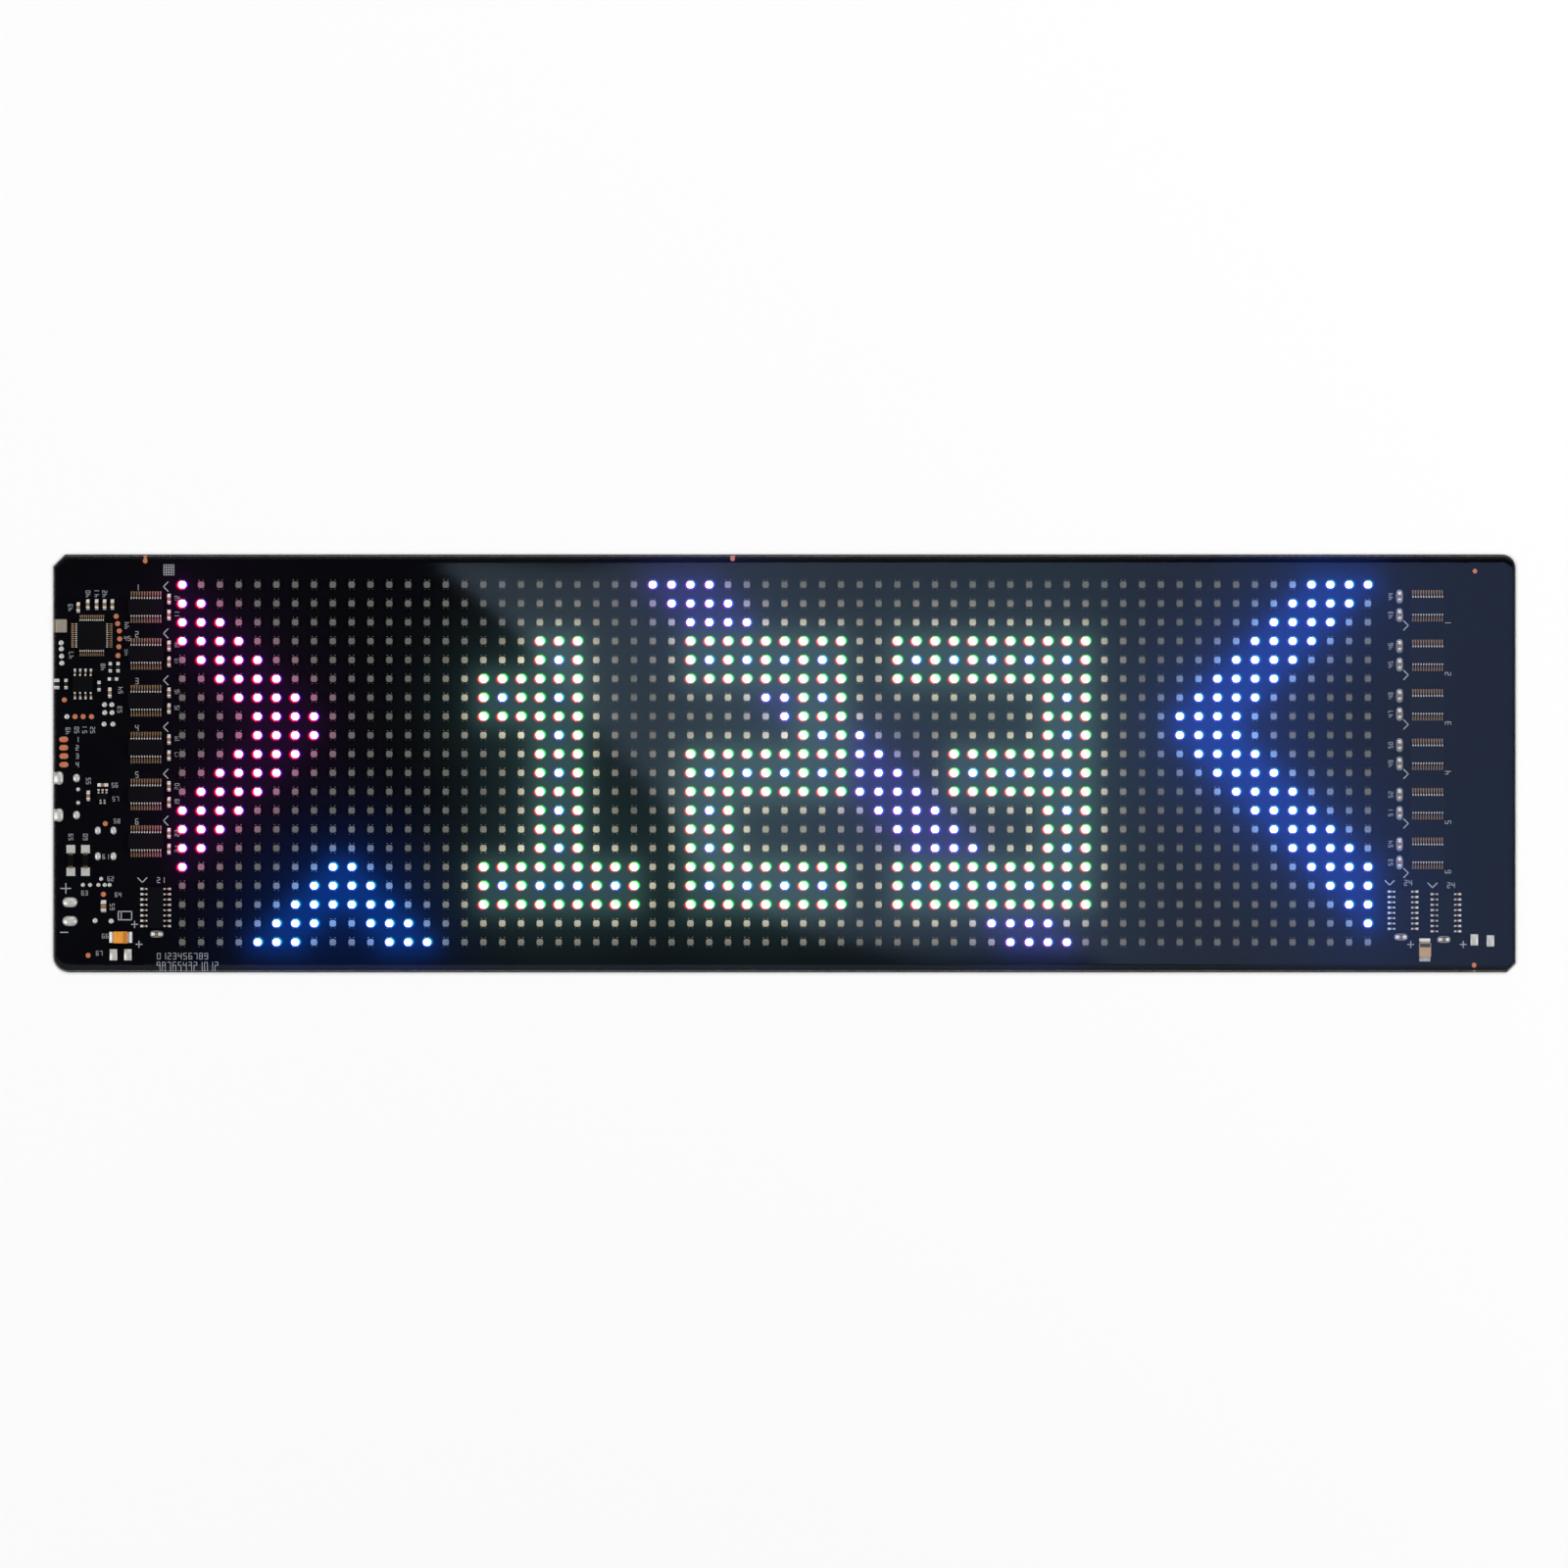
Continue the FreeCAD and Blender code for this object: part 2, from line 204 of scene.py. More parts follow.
def new_material(name):
    """An empty material and its node tree."""
    made = bpy.data.materials.new(name)
    made.use_nodes = True
    made.node_tree.nodes.clear()
    made.cycles.emission_sampling = "NONE"
    return made, made.node_tree


def grain(tree, size, pull=1.0):
    """Noise with grains of this many millimetres, on the object's coordinates, perhaps drawn out in Y."""
    place = add(tree, "TexCoord").outputs["Object"]
    if pull != 1.0:
        place = add(tree, "Mapping", {"Vector": place, "Scale": (1, pull, 1)}).outputs["Vector"]
    return add(tree, "TexNoise", {"Vector": place, "Scale": 1 / (size * MM)}).outputs["Fac"]


def led_spill(tree):
    """The light that the LEDs throw on this surface, as it was worked out for each of its points."""
    return add(tree, "Attribute", attribute_name="spill").outputs["Color"]


# The glow close round each lit LED: a white core, and a coloured disc whose red, green and blue lie a
# little apart, because the dies sit side by side. Both are wider than tall, like the row of dies.
CORE_RADIUS, CORE_PEAK = 0.71, 6.0
DISC_RADIUS, DISC_PEAK = 0.94, 5.0
GLOW_STRETCH = 1.06
DIE_PLACES = [(-0.20, -0.10), (0.17, 0.12), (0.08, -0.02)]


def glow_disc(tree, square, middle, radius, peak):
    """A disc of light with a soft edge, in the square of each LED."""
    x, y = middle
    away = add(tree, "VectorMath", [square, ((PITCH / 2 + x) * MM, (PITCH / 2 + y) * MM, 0)],
               operation="SUBTRACT")
    share = (1 / (radius * GLOW_STRETCH * MM), GLOW_STRETCH / (radius * MM), 0)
    radii = add(tree, "VectorMath", [away, share], operation="MULTIPLY")
    squared = add(tree, "VectorMath", [radii, radii], operation="DOT_PRODUCT").outputs["Value"]
    fourth = add(tree, "Math", [squared, squared], operation="MULTIPLY")
    fall = add(tree, "Math", [fourth, -1.0], operation="MULTIPLY")
    soft = add(tree, "Math", [fall], operation="EXPONENT")
    return add(tree, "Math", [soft, peak], operation="MULTIPLY")


def led_halo(tree):
    """The glow round the LED in each square of the grid, in the colours that its square was given."""
    place = add(tree, "TexCoord").outputs["Object"]
    corner = ((LEFT_END - PITCH / 2) * MM, (TOP_ROW - LED_ROWS * PITCH + PITCH / 2) * MM, 0)
    shifted = add(tree, "VectorMath", [place, corner], operation="SUBTRACT")
    square = add(tree, "VectorMath", [shifted, (PITCH * MM, PITCH * MM, 1)], operation="MODULO")
    dies = add(tree, "Attribute", attribute_name="dies").outputs
    discs = {name: glow_disc(tree, square, middle, DISC_RADIUS, DISC_PEAK)
             for name, middle in zip(("Red", "Green", "Blue"), DIE_PLACES)}
    shape = add(tree, "CombineColor", discs)
    halo = add(tree, "VectorMath", [shape, dies["Color"]], operation="MULTIPLY")
    centre = glow_disc(tree, square, (0, 0), CORE_RADIUS, CORE_PEAK)
    core = add(tree, "Math", [centre, dies["Alpha"]], operation="MULTIPLY")
    glow = add(tree, "VectorMath", [halo, core], operation="ADD")
    return add(tree, "VectorMath", [glow, led_spill(tree)], operation="ADD")


# A plain surface hardly shines under resin, because the resin bends light nearly as much as it does
PLAIN_SHINE, UNDER_RESIN = 0.5, 0.02

# What a surface sends back of the LEDs' spilled light, against the black board
PALE, METAL, DARK = 4.0, 5.0, 1.0


def surface(name, patch, colours, rough, tooth=None, metal=0.0, shine=PLAIN_SHINE, sends=0.0,
            glows=False, pull=1.0):
    """A material whose colour varies between two in patches of this size. tooth is the size and the
    depth of its bump, and a roughness of two numbers follows it."""
    made, tree = new_material(name)
    one, other = map(linear, colours)
    tones = add(tree, "Mix", {"Factor": grain(tree, patch, pull), "A": one, "B": other},
                data_type="RGBA").outputs["Result"]
    inputs = {"Base Color": tones, "Metallic": metal, "Roughness": rough, "Specular IOR Level": shine}
    if tooth:
        size, depth = tooth
        height = grain(tree, size, pull)
        inputs["Normal"] = add(tree, "Bump", {"Height": height, "Distance": depth * MM})
        if isinstance(rough, tuple):
            low, high = rough
            inputs["Roughness"] = add(tree, "MapRange", {"Value": height, "To Min": low, "To Max": high})
    if glows:
        inputs.update({"Emission Color": led_halo(tree), "Emission Strength": 1.0})
    if sends:
        inputs.update({"Emission Color": led_spill(tree), "Emission Strength": sends})
    add(tree, "OutputMaterial", {"Surface": add(tree, "BsdfPrincipled", inputs)})
    return made


# Polyimide cover film, laminated: near black and satin, with an even tooth that is drawn coarser than
# the real one, so that it shows
# Painted glow: the film's emission carries the LEDs' glow and spilled light
FILM = surface("polyimide_cover_film_front", 9.0, ("#050508", "#090A0E"), (0.34, 0.46),
               (0.25, 0.004), shine=UNDER_RESIN, glows=True)
# The same film on the back and the edges, where no LED lights it
BACK_FILM = surface("polyimide_cover_film_back", 9.0, ("#0B0B0D", "#121316"), (0.38, 0.52), (0.25, 0.006))
# Black moulded epoxy of the LED's frame: dull, so that the lens stands out
# Painted glow: the frame's emission carries the LEDs' glow and spilled light
LED_EPOXY = surface("led_frame_epoxy", 0.12, ("#08080A", "#0E0E10"), 0.5, (0.12, 0.003),
                    shine=UNDER_RESIN, glows=True)
# Milky clear epoxy over the dies: a warm grey that is a little uneven from LED to LED
LENS = surface("led_lens_epoxy", 6.0, ("#53534F", "#6B6A66"), 0.3, (0.4, 0.01), shine=1.0, sends=PALE)
# Transfer-moulded epoxy: charcoal black and matt, with the fine grain of the mould
CHIP = surface("chip_moulded_epoxy", 0.08, ("#08080A", "#111113"), 0.62, (0.08, 0.004),
               shine=UNDER_RESIN, sends=DARK)
# Copper leads thinly plated with tin: tan metal, streaked by the die that bent them
TIN = surface("tin_plated_leads", 0.3, ("#86694F", "#B4967A"), (0.38, 0.55), (0.3, 0.006), 1.0,
              sends=METAL)
# The level tops of the leads and the small parts' plated ends: the same tin painted brightest, a painted
# highlight for the glints that light makes on them
TIN_PAINTED_HIGHLIGHT = surface("tin_painted_highlight", 0.2, ("#EAE6DE", "#FAF8F2"), 0.5, metal=0.3, sends=METAL)
# Reflowed tin solder: bright, smooth and slightly rippled where it froze
SOLDER = surface("reflowed_solder", 0.5, ("#DAD9D3", "#F4F3EE"), (0.22, 0.4), (0.5, 0.02), 0.6,
                 sends=METAL)
# Solder at an LED's feet: painted darker than the other solder, as painted shade, and lit by the painted
# glow of the LEDs round it
LED_JOINT_SHADE_AND_GLOW = surface("led_joint_solder_painted_shade_and_glow", 0.3, ("#77756F", "#A3A19A"), 0.45, metal=1.0, glows=True)
# Etched copper under a thin clear finish: orange pink, a little darker where it has aged
COPPER = surface("etched_copper", 0.5, ("#D9764A", "#F0A078"), (0.35, 0.55), (0.5, 0.006), 0.75,
                 sends=METAL)
# Fired barium titanate: tan and dense, with a faint sheen
CERAMIC = surface("capacitor_ceramic", 0.15, ("#7A5F45", "#96785A"), 0.45, (0.15, 0.004), sends=PALE)
# Black glass over a printed resistor film on ceramic: glossy and even
RESISTOR = surface("resistor_glass", 0.4, ("#101012", "#1C1C1F"), 0.28, sends=DARK)
# Moulded epoxy, dyed orange: satin, a little mottled
TANTALUM = surface("tantalum_epoxy_orange", 0.9, ("#E08A1E", "#F2A63C"), 0.42, (0.12, 0.005), sends=PALE)
# The same moulding in a paler, duller tan
TANTALUM_AGED = surface("tantalum_epoxy_tan", 0.9, ("#A8865C", "#BE9C72"), 0.45, (0.12, 0.005), sends=PALE)
# The dark band printed across a tantalum capacitor's end
BAND = surface("polarity_band_ink", 0.3, ("#2C2A22", "#3E3A2E"), 0.5, sends=DARK)
# The band that a laser browned on the orange capacitor's end
BURNT_BAND = surface("polarity_band_laser_browned", 0.2, ("#B86A1A", "#C87C26"), 0.55, sends=DARK)
# Seam-welded lid of plated alloy: satin grey metal with a rolled grain along it
LID = surface("crystal_lid_metal", 0.12, ("#A49C92", "#C0B8AC"), (0.4, 0.55), (0.12, 0.004), 0.85,
              sends=METAL, pull=0.08)
# White epoxy ink, screen printed: chalky, and thinner where the mesh left less of it
INK = surface("screen_printed_ink", 0.35, ("#7E848A", "#C4C9CE"), 0.7, sends=METAL)


def clear_resin():
    """Poured clear polyurethane: water clear and glossy. Lamps shine through it on what it covers."""
    made, tree = new_material("clear_polyurethane_resin")
    ray = add(tree, "LightPath").outputs
    lit = add(tree, "Math", [ray["Is Shadow Ray"], ray["Is Diffuse Ray"]], operation="MAXIMUM")
    glass = add(tree, "BsdfPrincipled", {"Base Color": linear("#FBFDFF"), "Roughness": 0.02, "IOR": 1.5,
                                         "Transmission Weight": 1.0})
    both = add(tree, "MixShader", [lit, glass, add(tree, "BsdfTransparent")])
    add(tree, "OutputMaterial", {"Surface": both})
    return made


def lit_lens(kind):
    """A lit lens: so bright that its middle reads white, and only its edge keeps the colour."""
    name, colour, strength = LIGHTS[kind][:3]
    made, tree = new_material(f"lit_lens_{name}")
    shader = add(tree, "BsdfPrincipled", {"Base Color": linear(colour), "Roughness": 0.3,
                                          "Emission Color": linear(colour), "Emission Strength": strength})
    add(tree, "OutputMaterial", {"Surface": shader})
    return made


RESIN = clear_resin()


# Shapes: each is an array of points in millimetres and a list of faces

def joined(shapes):
    """Several shapes as one."""
    points, faces, start = [], [], 0
    for shape_points, shape_faces in shapes:
        points.append(shape_points)
        faces += [tuple(start + i for i in face) for face in shape_faces]
        start += len(shape_points)
    return np.concatenate(points), faces


def placed(shape, x, y, z=0.0, turn=0.0):
    """A shape turned about Z, in degrees, and moved."""
    points, faces = shape
    c, s = math.cos(math.radians(turn)), math.sin(math.radians(turn))
    turned = points @ np.array([[c, s, 0], [-s, c, 0], [0, 0, 1]])
    return turned + np.array([x, y, z]), faces


def rounded_ring(half_x, half_y, radius, z, steps=3):
    """A rectangle with round corners, anticlockwise, as points at one height."""
    ring = []
    for quarter, (sx, sy) in enumerate([(1, 1), (-1, 1), (-1, -1), (1, -1)]):
        for step in range(steps + 1):
            angle = math.pi / 2 * (quarter + (step / steps if steps else 0.5))
            reach = radius if steps else 0.0
            ring.append((sx * (half_x - reach) + reach * math.cos(angle),
                         sy * (half_y - reach) + reach * math.sin(angle), z))
    return ring


def circle_ring(radius, z, count=16):
    """A circle as points at one height."""
    angles = [2 * math.pi * i / count for i in range(count)]
    return [(radius * math.cos(a), radius * math.sin(a), z) for a in angles]


def loft(rings, low_cap=True, high_cap=True):
    """A skin over rings that have as many points each, from the lowest up, closed by caps."""
    count = len(rings[0])
    points = np.array([p for ring in rings for p in ring], float)
    faces = []
    for level in range(len(rings) - 1):
        for i in range(count):
            j = (i + 1) % count
            a, b = level * count, (level + 1) * count
            faces.append((a + i, a + j, b + j, b + i))
    if low_cap:
        faces.append(tuple(range(count - 1, -1, -1)))
    if high_cap:
        faces.append(tuple(range((len(rings) - 1) * count, len(rings) * count)))
    return points, faces


def body_rings(length, width, corner, levels, steps=2):
    """Rings of a body with round corners, from its foot up. Each level: its inset and its height."""
    return [rounded_ring(length / 2 - inset, width / 2 - inset, corner, z, steps) for inset, z in levels]


def block(length, width, low, high, bevel=0.0):
    """A block about the middle, with its upper edges bevelled."""
    levels = [(0, low), (0, high - bevel)] + ([(bevel, high)] if bevel else [])
    return loft(body_rings(length, width, 0, levels, 0))


def strip(upper, lower, width, end_width=None):
    """A bent strip: its upper and lower line, as X and Z, made this wide along Y at each end."""
    points, faces, count = [], [], len(upper)
    widths = np.linspace(width, width if end_width is None else end_width, count)
    for line in (upper, lower):
        for (x, z), wide in zip(line, widths):
            points += [(x, -wide / 2, z), (x, wide / 2, z)]
    for i in range(count - 1):
        u, v = 2 * i, 2 * (count + i)
        faces += [(u, u + 2, u + 3, u + 1), (v, v + 1, v + 3, v + 2),
                  (u, v, v + 2, u + 2), (u + 1, u + 3, v + 3, v + 1)]
    first, last = 0, 2 * (count - 1)
    low_first, low_last = 2 * count, 2 * (2 * count - 1)
    faces += [(first, first + 1, low_first + 1, low_first),
              (last, low_last, low_last + 1, last + 1)]
    return np.array(points, float), faces


def slope(upper, width, end_width=None, foot=0.0):
    """A slope of solder: from its upper line straight down to the foot's height."""
    return strip(upper, [(x, foot) for x, _ in upper], width, end_width)


def new_object(name, data):
    """An object in the scene."""
    made = bpy.data.objects.new(name, data)
    bpy.context.scene.collection.objects.link(made)
    return made


def paint(mesh, name, domain, colours):
    """Gives each point or face of a mesh its colour."""
    attribute = mesh.attributes.new(name, "FLOAT_COLOR", domain)
    attribute.data.foreach_set("color", np.asarray(colours, np.float32).ravel())


def opaque(colours):
    """Red, green and blue with an alpha of one."""
    return np.column_stack([colours, np.ones(len(colours))])


# Past these angles, in degrees, the edge between two faces stays sharp
RESIN_SHARP, PAD_SHARP, ROUND_SHARP = 40, 50, 60


def piece(name, shape, material, slot, nodes=(), spill=True, smooth=0.0, dies=None):
    """Makes a piece from a shape, with the LEDs' spilled light on it, and puts it on the body."""
    points, faces = shape
    mesh = bpy.data.meshes.new(name)
    mesh.from_pydata((points * MM).tolist(), [], faces)
    if smooth:
        mesh.shade_smooth()
        mesh.set_sharp_from_angle(angle=math.radians(smooth))
    if spill:
        colours = spill_at(points[:, :2], slot in ("solder", "led_lens"))
        paint(mesh, "spill", "POINT", opaque(colours))
    if dies is not None:
        paint(mesh, "dies", "FACE", dies)
    mesh.materials.append(material)
    made = new_object(name, mesh)
    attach(made, "root")
    if nodes:
        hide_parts(*nodes)
    return made


# The board and the resin

def corner_points(inset, steps=8):
    """The board's outline, inset, from the left end of its top edge and round clockwise."""
    x, y = board_high[0] - inset, board_high[1] - inset
    loss = (2 - math.sqrt(2)) * inset
    cut, low_cut = UPPER_LEFT_CHAMFER - loss, LOWER_RIGHT_CHAMFER - loss
    radius, low_radius = UPPER_RIGHT_RADIUS - inset, LOWER_LEFT_RADIUS - inset
    points = [(cut - x, y)]
    for step in range(steps + 1):
        angle = math.pi / 2 * (1 - step / steps)
        points.append((x - radius + radius * math.cos(angle), y - radius + radius * math.sin(angle)))
    points += [(x, low_cut - y), (x - low_cut, -y)]
    for step in range(steps + 1):
        angle = -math.pi / 2 * (1 + step / steps)
        points.append((low_radius - x + low_radius * math.cos(angle),
                       low_radius - y + low_radius * math.sin(angle)))
    return points + [(-x, y - cut)]


def outline(inset, spacing):
    """The same outline with its long sides divided, into as many parts for any inset."""
    corners, full = corner_points(inset), corner_points(0)
    points = []
    for i, (x, y) in enumerate(corners):
        next_x, next_y = corners[(i + 1) % len(corners)]
        full_x, full_y = full[i]
        full_next_x, full_next_y = full[(i + 1) % len(full)]
        length = math.hypot(full_next_x - full_x, full_next_y - full_y)
        count = max(1, round(length / spacing))
        points += [(x + (next_x - x) * k / count, y + (next_y - y) * k / count)
                   for k in range(count)]
    return points


def filled(rim, holes_rim, inner):
    """Triangles over the inside of a rim, through the inner points, less the hole."""
    points = [Vector(p) for p in rim + holes_rim + inner]
    edges = [(i, (i + 1) % len(rim)) for i in range(len(rim))]
    start = len(rim)
    edges += [(start + i, start + (i + 1) % len(holes_rim)) for i in range(len(holes_rim))]
    found, _, faces, _, _, _ = delaunay_2d_cdt(points, edges, [], 0, 1e-5)
    return np.array([(p.x, p.y) for p in found]), [tuple(face) for face in faces]


FINE_STEPS = 8
MARGIN_STEP = PITCH / 2
FIELD_LOW = np.array([LEFT_END - PITCH / 2, TOP_ROW - (LED_ROWS - 0.5) * PITCH])
FIELD_HIGH = np.array([RIGHT_END + PITCH / 2, TOP_ROW + PITCH / 2])


def board_field():
    """The film over the LED field: a fine grid, with each square's die colours."""
    across, down = LED_COLUMNS * FINE_STEPS, LED_ROWS * FINE_STEPS
    step = PITCH / FINE_STEPS
    y, x = np.mgrid[0:down + 1, 0:across + 1]
    points = np.column_stack([FIELD_LOW[0] + x.ravel() * step, FIELD_LOW[1] + y.ravel() * step,
                              np.full(x.size, BOARD_TOP)])
    faces, dies = [], []
    for j in range(down):
        row = LED_ROWS - 1 - j // FINE_STEPS
        for i in range(across):
            a = j * (across + 1) + i
            faces.append((a, a + 1, a + across + 2, a + across + 1))
            dies.append(die_colours(PICTURE[row, i // FINE_STEPS]))
    return (points, faces), dies


def die_colours(kind):
    """The red, green and blue that an LED's dies give off, with an alpha of one where it is lit."""
    return (*LIGHTS[kind][3], 1) if kind != OFF else (0, 0, 0, 0)


def board_margin():
    """The film round the LED field, out to the board's outline."""
    step = PITCH / FINE_STEPS
    xs = np.arange(FIELD_LOW[0], FIELD_HIGH[0] - step / 2, step)
    ys = np.arange(FIELD_LOW[1], FIELD_HIGH[1] - step / 2, step)
    hole = [(x, FIELD_LOW[1]) for x in xs] + [(FIELD_HIGH[0], y) for y in ys]
    hole += [(FIELD_LOW[0] + FIELD_HIGH[0] - x, FIELD_HIGH[1]) for x in xs]
    hole += [(FIELD_LOW[0], FIELD_LOW[1] + FIELD_HIGH[1] - y) for y in ys]
    inner = []
    for x in np.arange(board_low[0] + MARGIN_STEP, board_high[0], MARGIN_STEP):
        for y in np.arange(board_low[1] + MARGIN_STEP, board_high[1], MARGIN_STEP):
            near = (FIELD_LOW - 1 < (x, y)).all() and ((x, y) < FIELD_HIGH + 1).all()
            if not near and inside_outline(x, y, 1.0):
                inner.append((x, y))
    flat, faces = filled(outline(0, MARGIN_STEP), hole, inner)
    middles = [flat[list(face)].mean(axis=0) for face in faces]
    kept = [face for face, middle in zip(faces, middles)
            if not ((middle > FIELD_LOW).all() and (middle < FIELD_HIGH).all())]
    points = np.column_stack([flat, np.full(len(flat), BOARD_TOP)])
    return points, kept


def inside_outline(x, y, gap):
    """True if a point is inside the board's outline by more than the gap."""
    right, top = board_high[0] - gap, board_high[1] - gap
    if abs(x) > right or abs(y) > top:
        return False
    if x < 0 < y:
        return right + x + top - y > UPPER_LEFT_CHAMFER
    if y < 0 < x:
        return right - x + top + y > LOWER_RIGHT_CHAMFER
    return right - abs(x) + top - abs(y) > LOWER_LEFT_RADIUS


def board_edge():
    """The board's sides and back, with the edges barely broken, as a punched film has them."""
    broken = 0.05
    rings = [(broken, 0.0), (0.0, broken), (0.0, BOARD_TOP)]
    rings = [[(x, y, z) for x, y in outline(inset, MARGIN_STEP)[::-1]] for inset, z in rings]
    return loft(rings, True, False)


# The poured resin's surface swells and dips a little. Each swell: its length along X and Y, as
# waves over the whole board, its phase and its share of the height.
SWELL_HEIGHT = 0.16
SWELLS = [(1.3, 0.4, 0.3, 0.30), (2.7, -0.6, 1.9, 0.24), (4.1, 0.9, 4.0, 0.16),
          (6.3, -1.1, 2.2, 0.12), (9.2, 0.7, 5.1, 0.08), (3.3, 1.8, 0.9, 0.10)]
COAT_INSET = coat_low[0] - board_low[0]
RIM_RADIUS = 1.0
RIM_SLOPES = 8
FALL_WIDTH, FALL_DEPTH = 0.5, 0.03
FALL_BLEND = 0.3
COAT_STEP = 3.0
COAT_FOOT = BOARD_TOP - 0.1


def coat_height(x, y):
    """The height of the resin's surface, where nothing else rounds it."""
    length = board_high[0] - board_low[0]
    total = sum(share * math.sin(2 * math.pi * (across * x + up * y * 3.5) / length + phase)
                for across, up, phase, share in SWELLS)
    return coat_high[2] - SWELL_HEIGHT * (1 - total) / 2


def coat_shape():
    """The resin: upright sides, a rounded rim, a face that falls gently towards it, and swells."""
    rings = [[(x, y, COAT_FOOT) for x, y in outline(COAT_INSET, COAT_STEP)[::-1]]]
    shoulder = coat_high[2] - RIM_RADIUS
    for slope in range(RIM_SLOPES + 1):
        angle = math.pi / 2 * slope / RIM_SLOPES
        inset = COAT_INSET + RIM_RADIUS * (1 - math.cos(angle))
        ring = []
        for x, y in outline(inset, COAT_STEP)[::-1]:
            rise = (coat_height(x, y) - FALL_DEPTH - shoulder) * math.sin(angle)
            ring.append((x, y, shoulder + rise))
        rings.append(ring)
    level = COAT_INSET + RIM_RADIUS + FALL_WIDTH
    for inset in (level, level + FALL_BLEND):
        rim = outline(inset, COAT_STEP)[::-1]
        rings.append([(x, y, coat_height(x, y)) for x, y in rim])
    sides = loft(rings, True, False)
    gap = level + FALL_BLEND + COAT_STEP / 2
    inner = [(x, y) for x in np.arange(board_low[0] + gap, board_high[0] - gap, COAT_STEP)
             for y in np.arange(board_low[1] + gap, board_high[1] - gap, COAT_STEP)
             if inside_outline(x, y, gap)]
    flat, faces = filled(rim, [], inner)
    heights = [coat_height(x, y) for x, y in flat]
    return weld(joined([sides, (np.column_stack([flat, heights]), faces)]))


def weld(shape):
    """The same shape with points that lie together made one."""
    points, faces = shape
    _, first, back = np.unique(np.round(points, 4), axis=0, return_index=True, return_inverse=True)
    back = back.reshape(-1)
    return points[first], [tuple(int(back[i]) for i in face) for face in faces]


def build_board():
    """The flexible board: film over the LED field, film round it, and the sides and back."""
    field, dies = board_field()
    piece("board_led_field", field, FILM, "board_black", dies=dies)
    margin = board_margin()
    piece("board_margin", margin, FILM, "board_black", dies=[die_colours(OFF)] * len(margin[1]))
    piece("board_back", board_edge(), BACK_FILM, "board_black", ["flex_board"], spill=False)


def build_coat():
    """The clear resin over everything."""
    return piece("resin_coat", coat_shape(), RESIN, "clear_resin", ["clear_coat"], spill=False,
                 smooth=RESIN_SHARP)


# The LEDs

FRAME_BEVEL, FRAME_CORNER = 0.08, 0.1
CUP_HALF, CUP_CORNER, CUP_DEPTH = 0.78, 0.48, 0.06
# The lens's rings, as shares of the cup's size and heights over the sunk rim
LENS_CROWN = ((1.0, 0.0), (0.7, 0.03), (0.35, 0.045))
# A joint's slope, out from the LED's side and up from the board, its width, and where it sits
JOINT_SLOPE = ((0, 0.18), (0.06, 0.08), (0.18, 0.03))
JOINT_WIDTH, JOINT_PLACE = 0.24, 0.5


def led_frame():
    """An LED's black frame: a square body with a rounded square cup in its top."""
    top = BOARD_TOP + LED_HEIGHT
    levels = [(0, BOARD_TOP), (0, top - FRAME_BEVEL), (FRAME_BEVEL, top)]
    rings = body_rings(LED_SIDE, LED_SIDE, FRAME_CORNER, levels, 3)
    cup = [rounded_ring(CUP_HALF, CUP_HALF, CUP_CORNER, z) for z in (top, top - CUP_DEPTH)]
    return loft(rings + cup, False, False)


def led_lens_shape():
    """The clear filling of the cup, a little sunk at its rim and crowned in the middle."""
    rim = BOARD_TOP + LED_HEIGHT - CUP_DEPTH
    rings = [rounded_ring(CUP_HALF * share, CUP_HALF * share, CUP_CORNER * share, rim + rise)
             for share, rise in LENS_CROWN]
    return loft(rings, False, True)


def led_joints():
    """The four solder joints at an LED's feet: small slopes of tin against its two sides."""
    upper = [(LED_SIDE / 2 + out, BOARD_TOP + rise) for out, rise in JOINT_SLOPE]
    joint = slope(upper, JOINT_WIDTH, foot=BOARD_TOP)
    return joined([placed(placed(joint, 0, side), 0, 0, 0, turn)
                   for turn in (90, 270) for side in (-JOINT_PLACE, JOINT_PLACE)])


def build_leds():
    """All the LEDs: frames and solder in one piece each, and the lenses by what they show."""
    frame_shape, lens, joints = led_frame(), led_lens_shape(), led_joints()
    places = list(zip(LED_X.ravel(), LED_Y.ravel(), PICTURE.ravel()))
    dies = [die_colours(kind) for _, _, kind in places for _ in frame_shape[1]]
    piece("led_frames", joined([placed(frame_shape, x, y) for x, y, _ in places]), LED_EPOXY,
          "led_package", [f"led_row_{row + 1:02d}" for row in range(LED_ROWS)], dies=dies)
    dies = [die_colours(kind) for _, _, kind in places for _ in joints[1]]
    piece("led_solder", joined([placed(joints, x, y) for x, y, _ in places]), LED_JOINT_SHADE_AND_GLOW, "solder",
          dies=dies)
    dark = joined([placed(lens, x, y) for x, y, kind in places if kind == OFF])
    piece("led_lenses_dark", dark, LENS, "led_lens", smooth=ROUND_SHARP)
    slots = {MAGENTA: "lit_magenta", AZURE: "lit_blue", BLUE: "lit_blue", VIOLET: "lit_violet",
             WHITE: "lit_white", SKY: "lit_blue"}
    for kind, slot in slots.items():
        lit = joined([placed(lens, x, y) for x, y, shown in places if shown == kind])
        name = LIGHTS[kind][0]
        piece(f"led_lenses_{name}", lit, lit_lens(kind), slot, spill=False, smooth=ROUND_SHARP)


# Chips

LEAD_THICKNESS = 0.15
CHIP_CORNER, CHIP_STAND_OFF, CHIP_BROKEN_EDGE = 0.1, 0.1, 0.05
# How far the chip's sides slope in at the foot, below its top edge, and at its top
FOOT_INSET, SHOULDER_INSET, TOP_INSET = 0.14, 0.12, 0.18

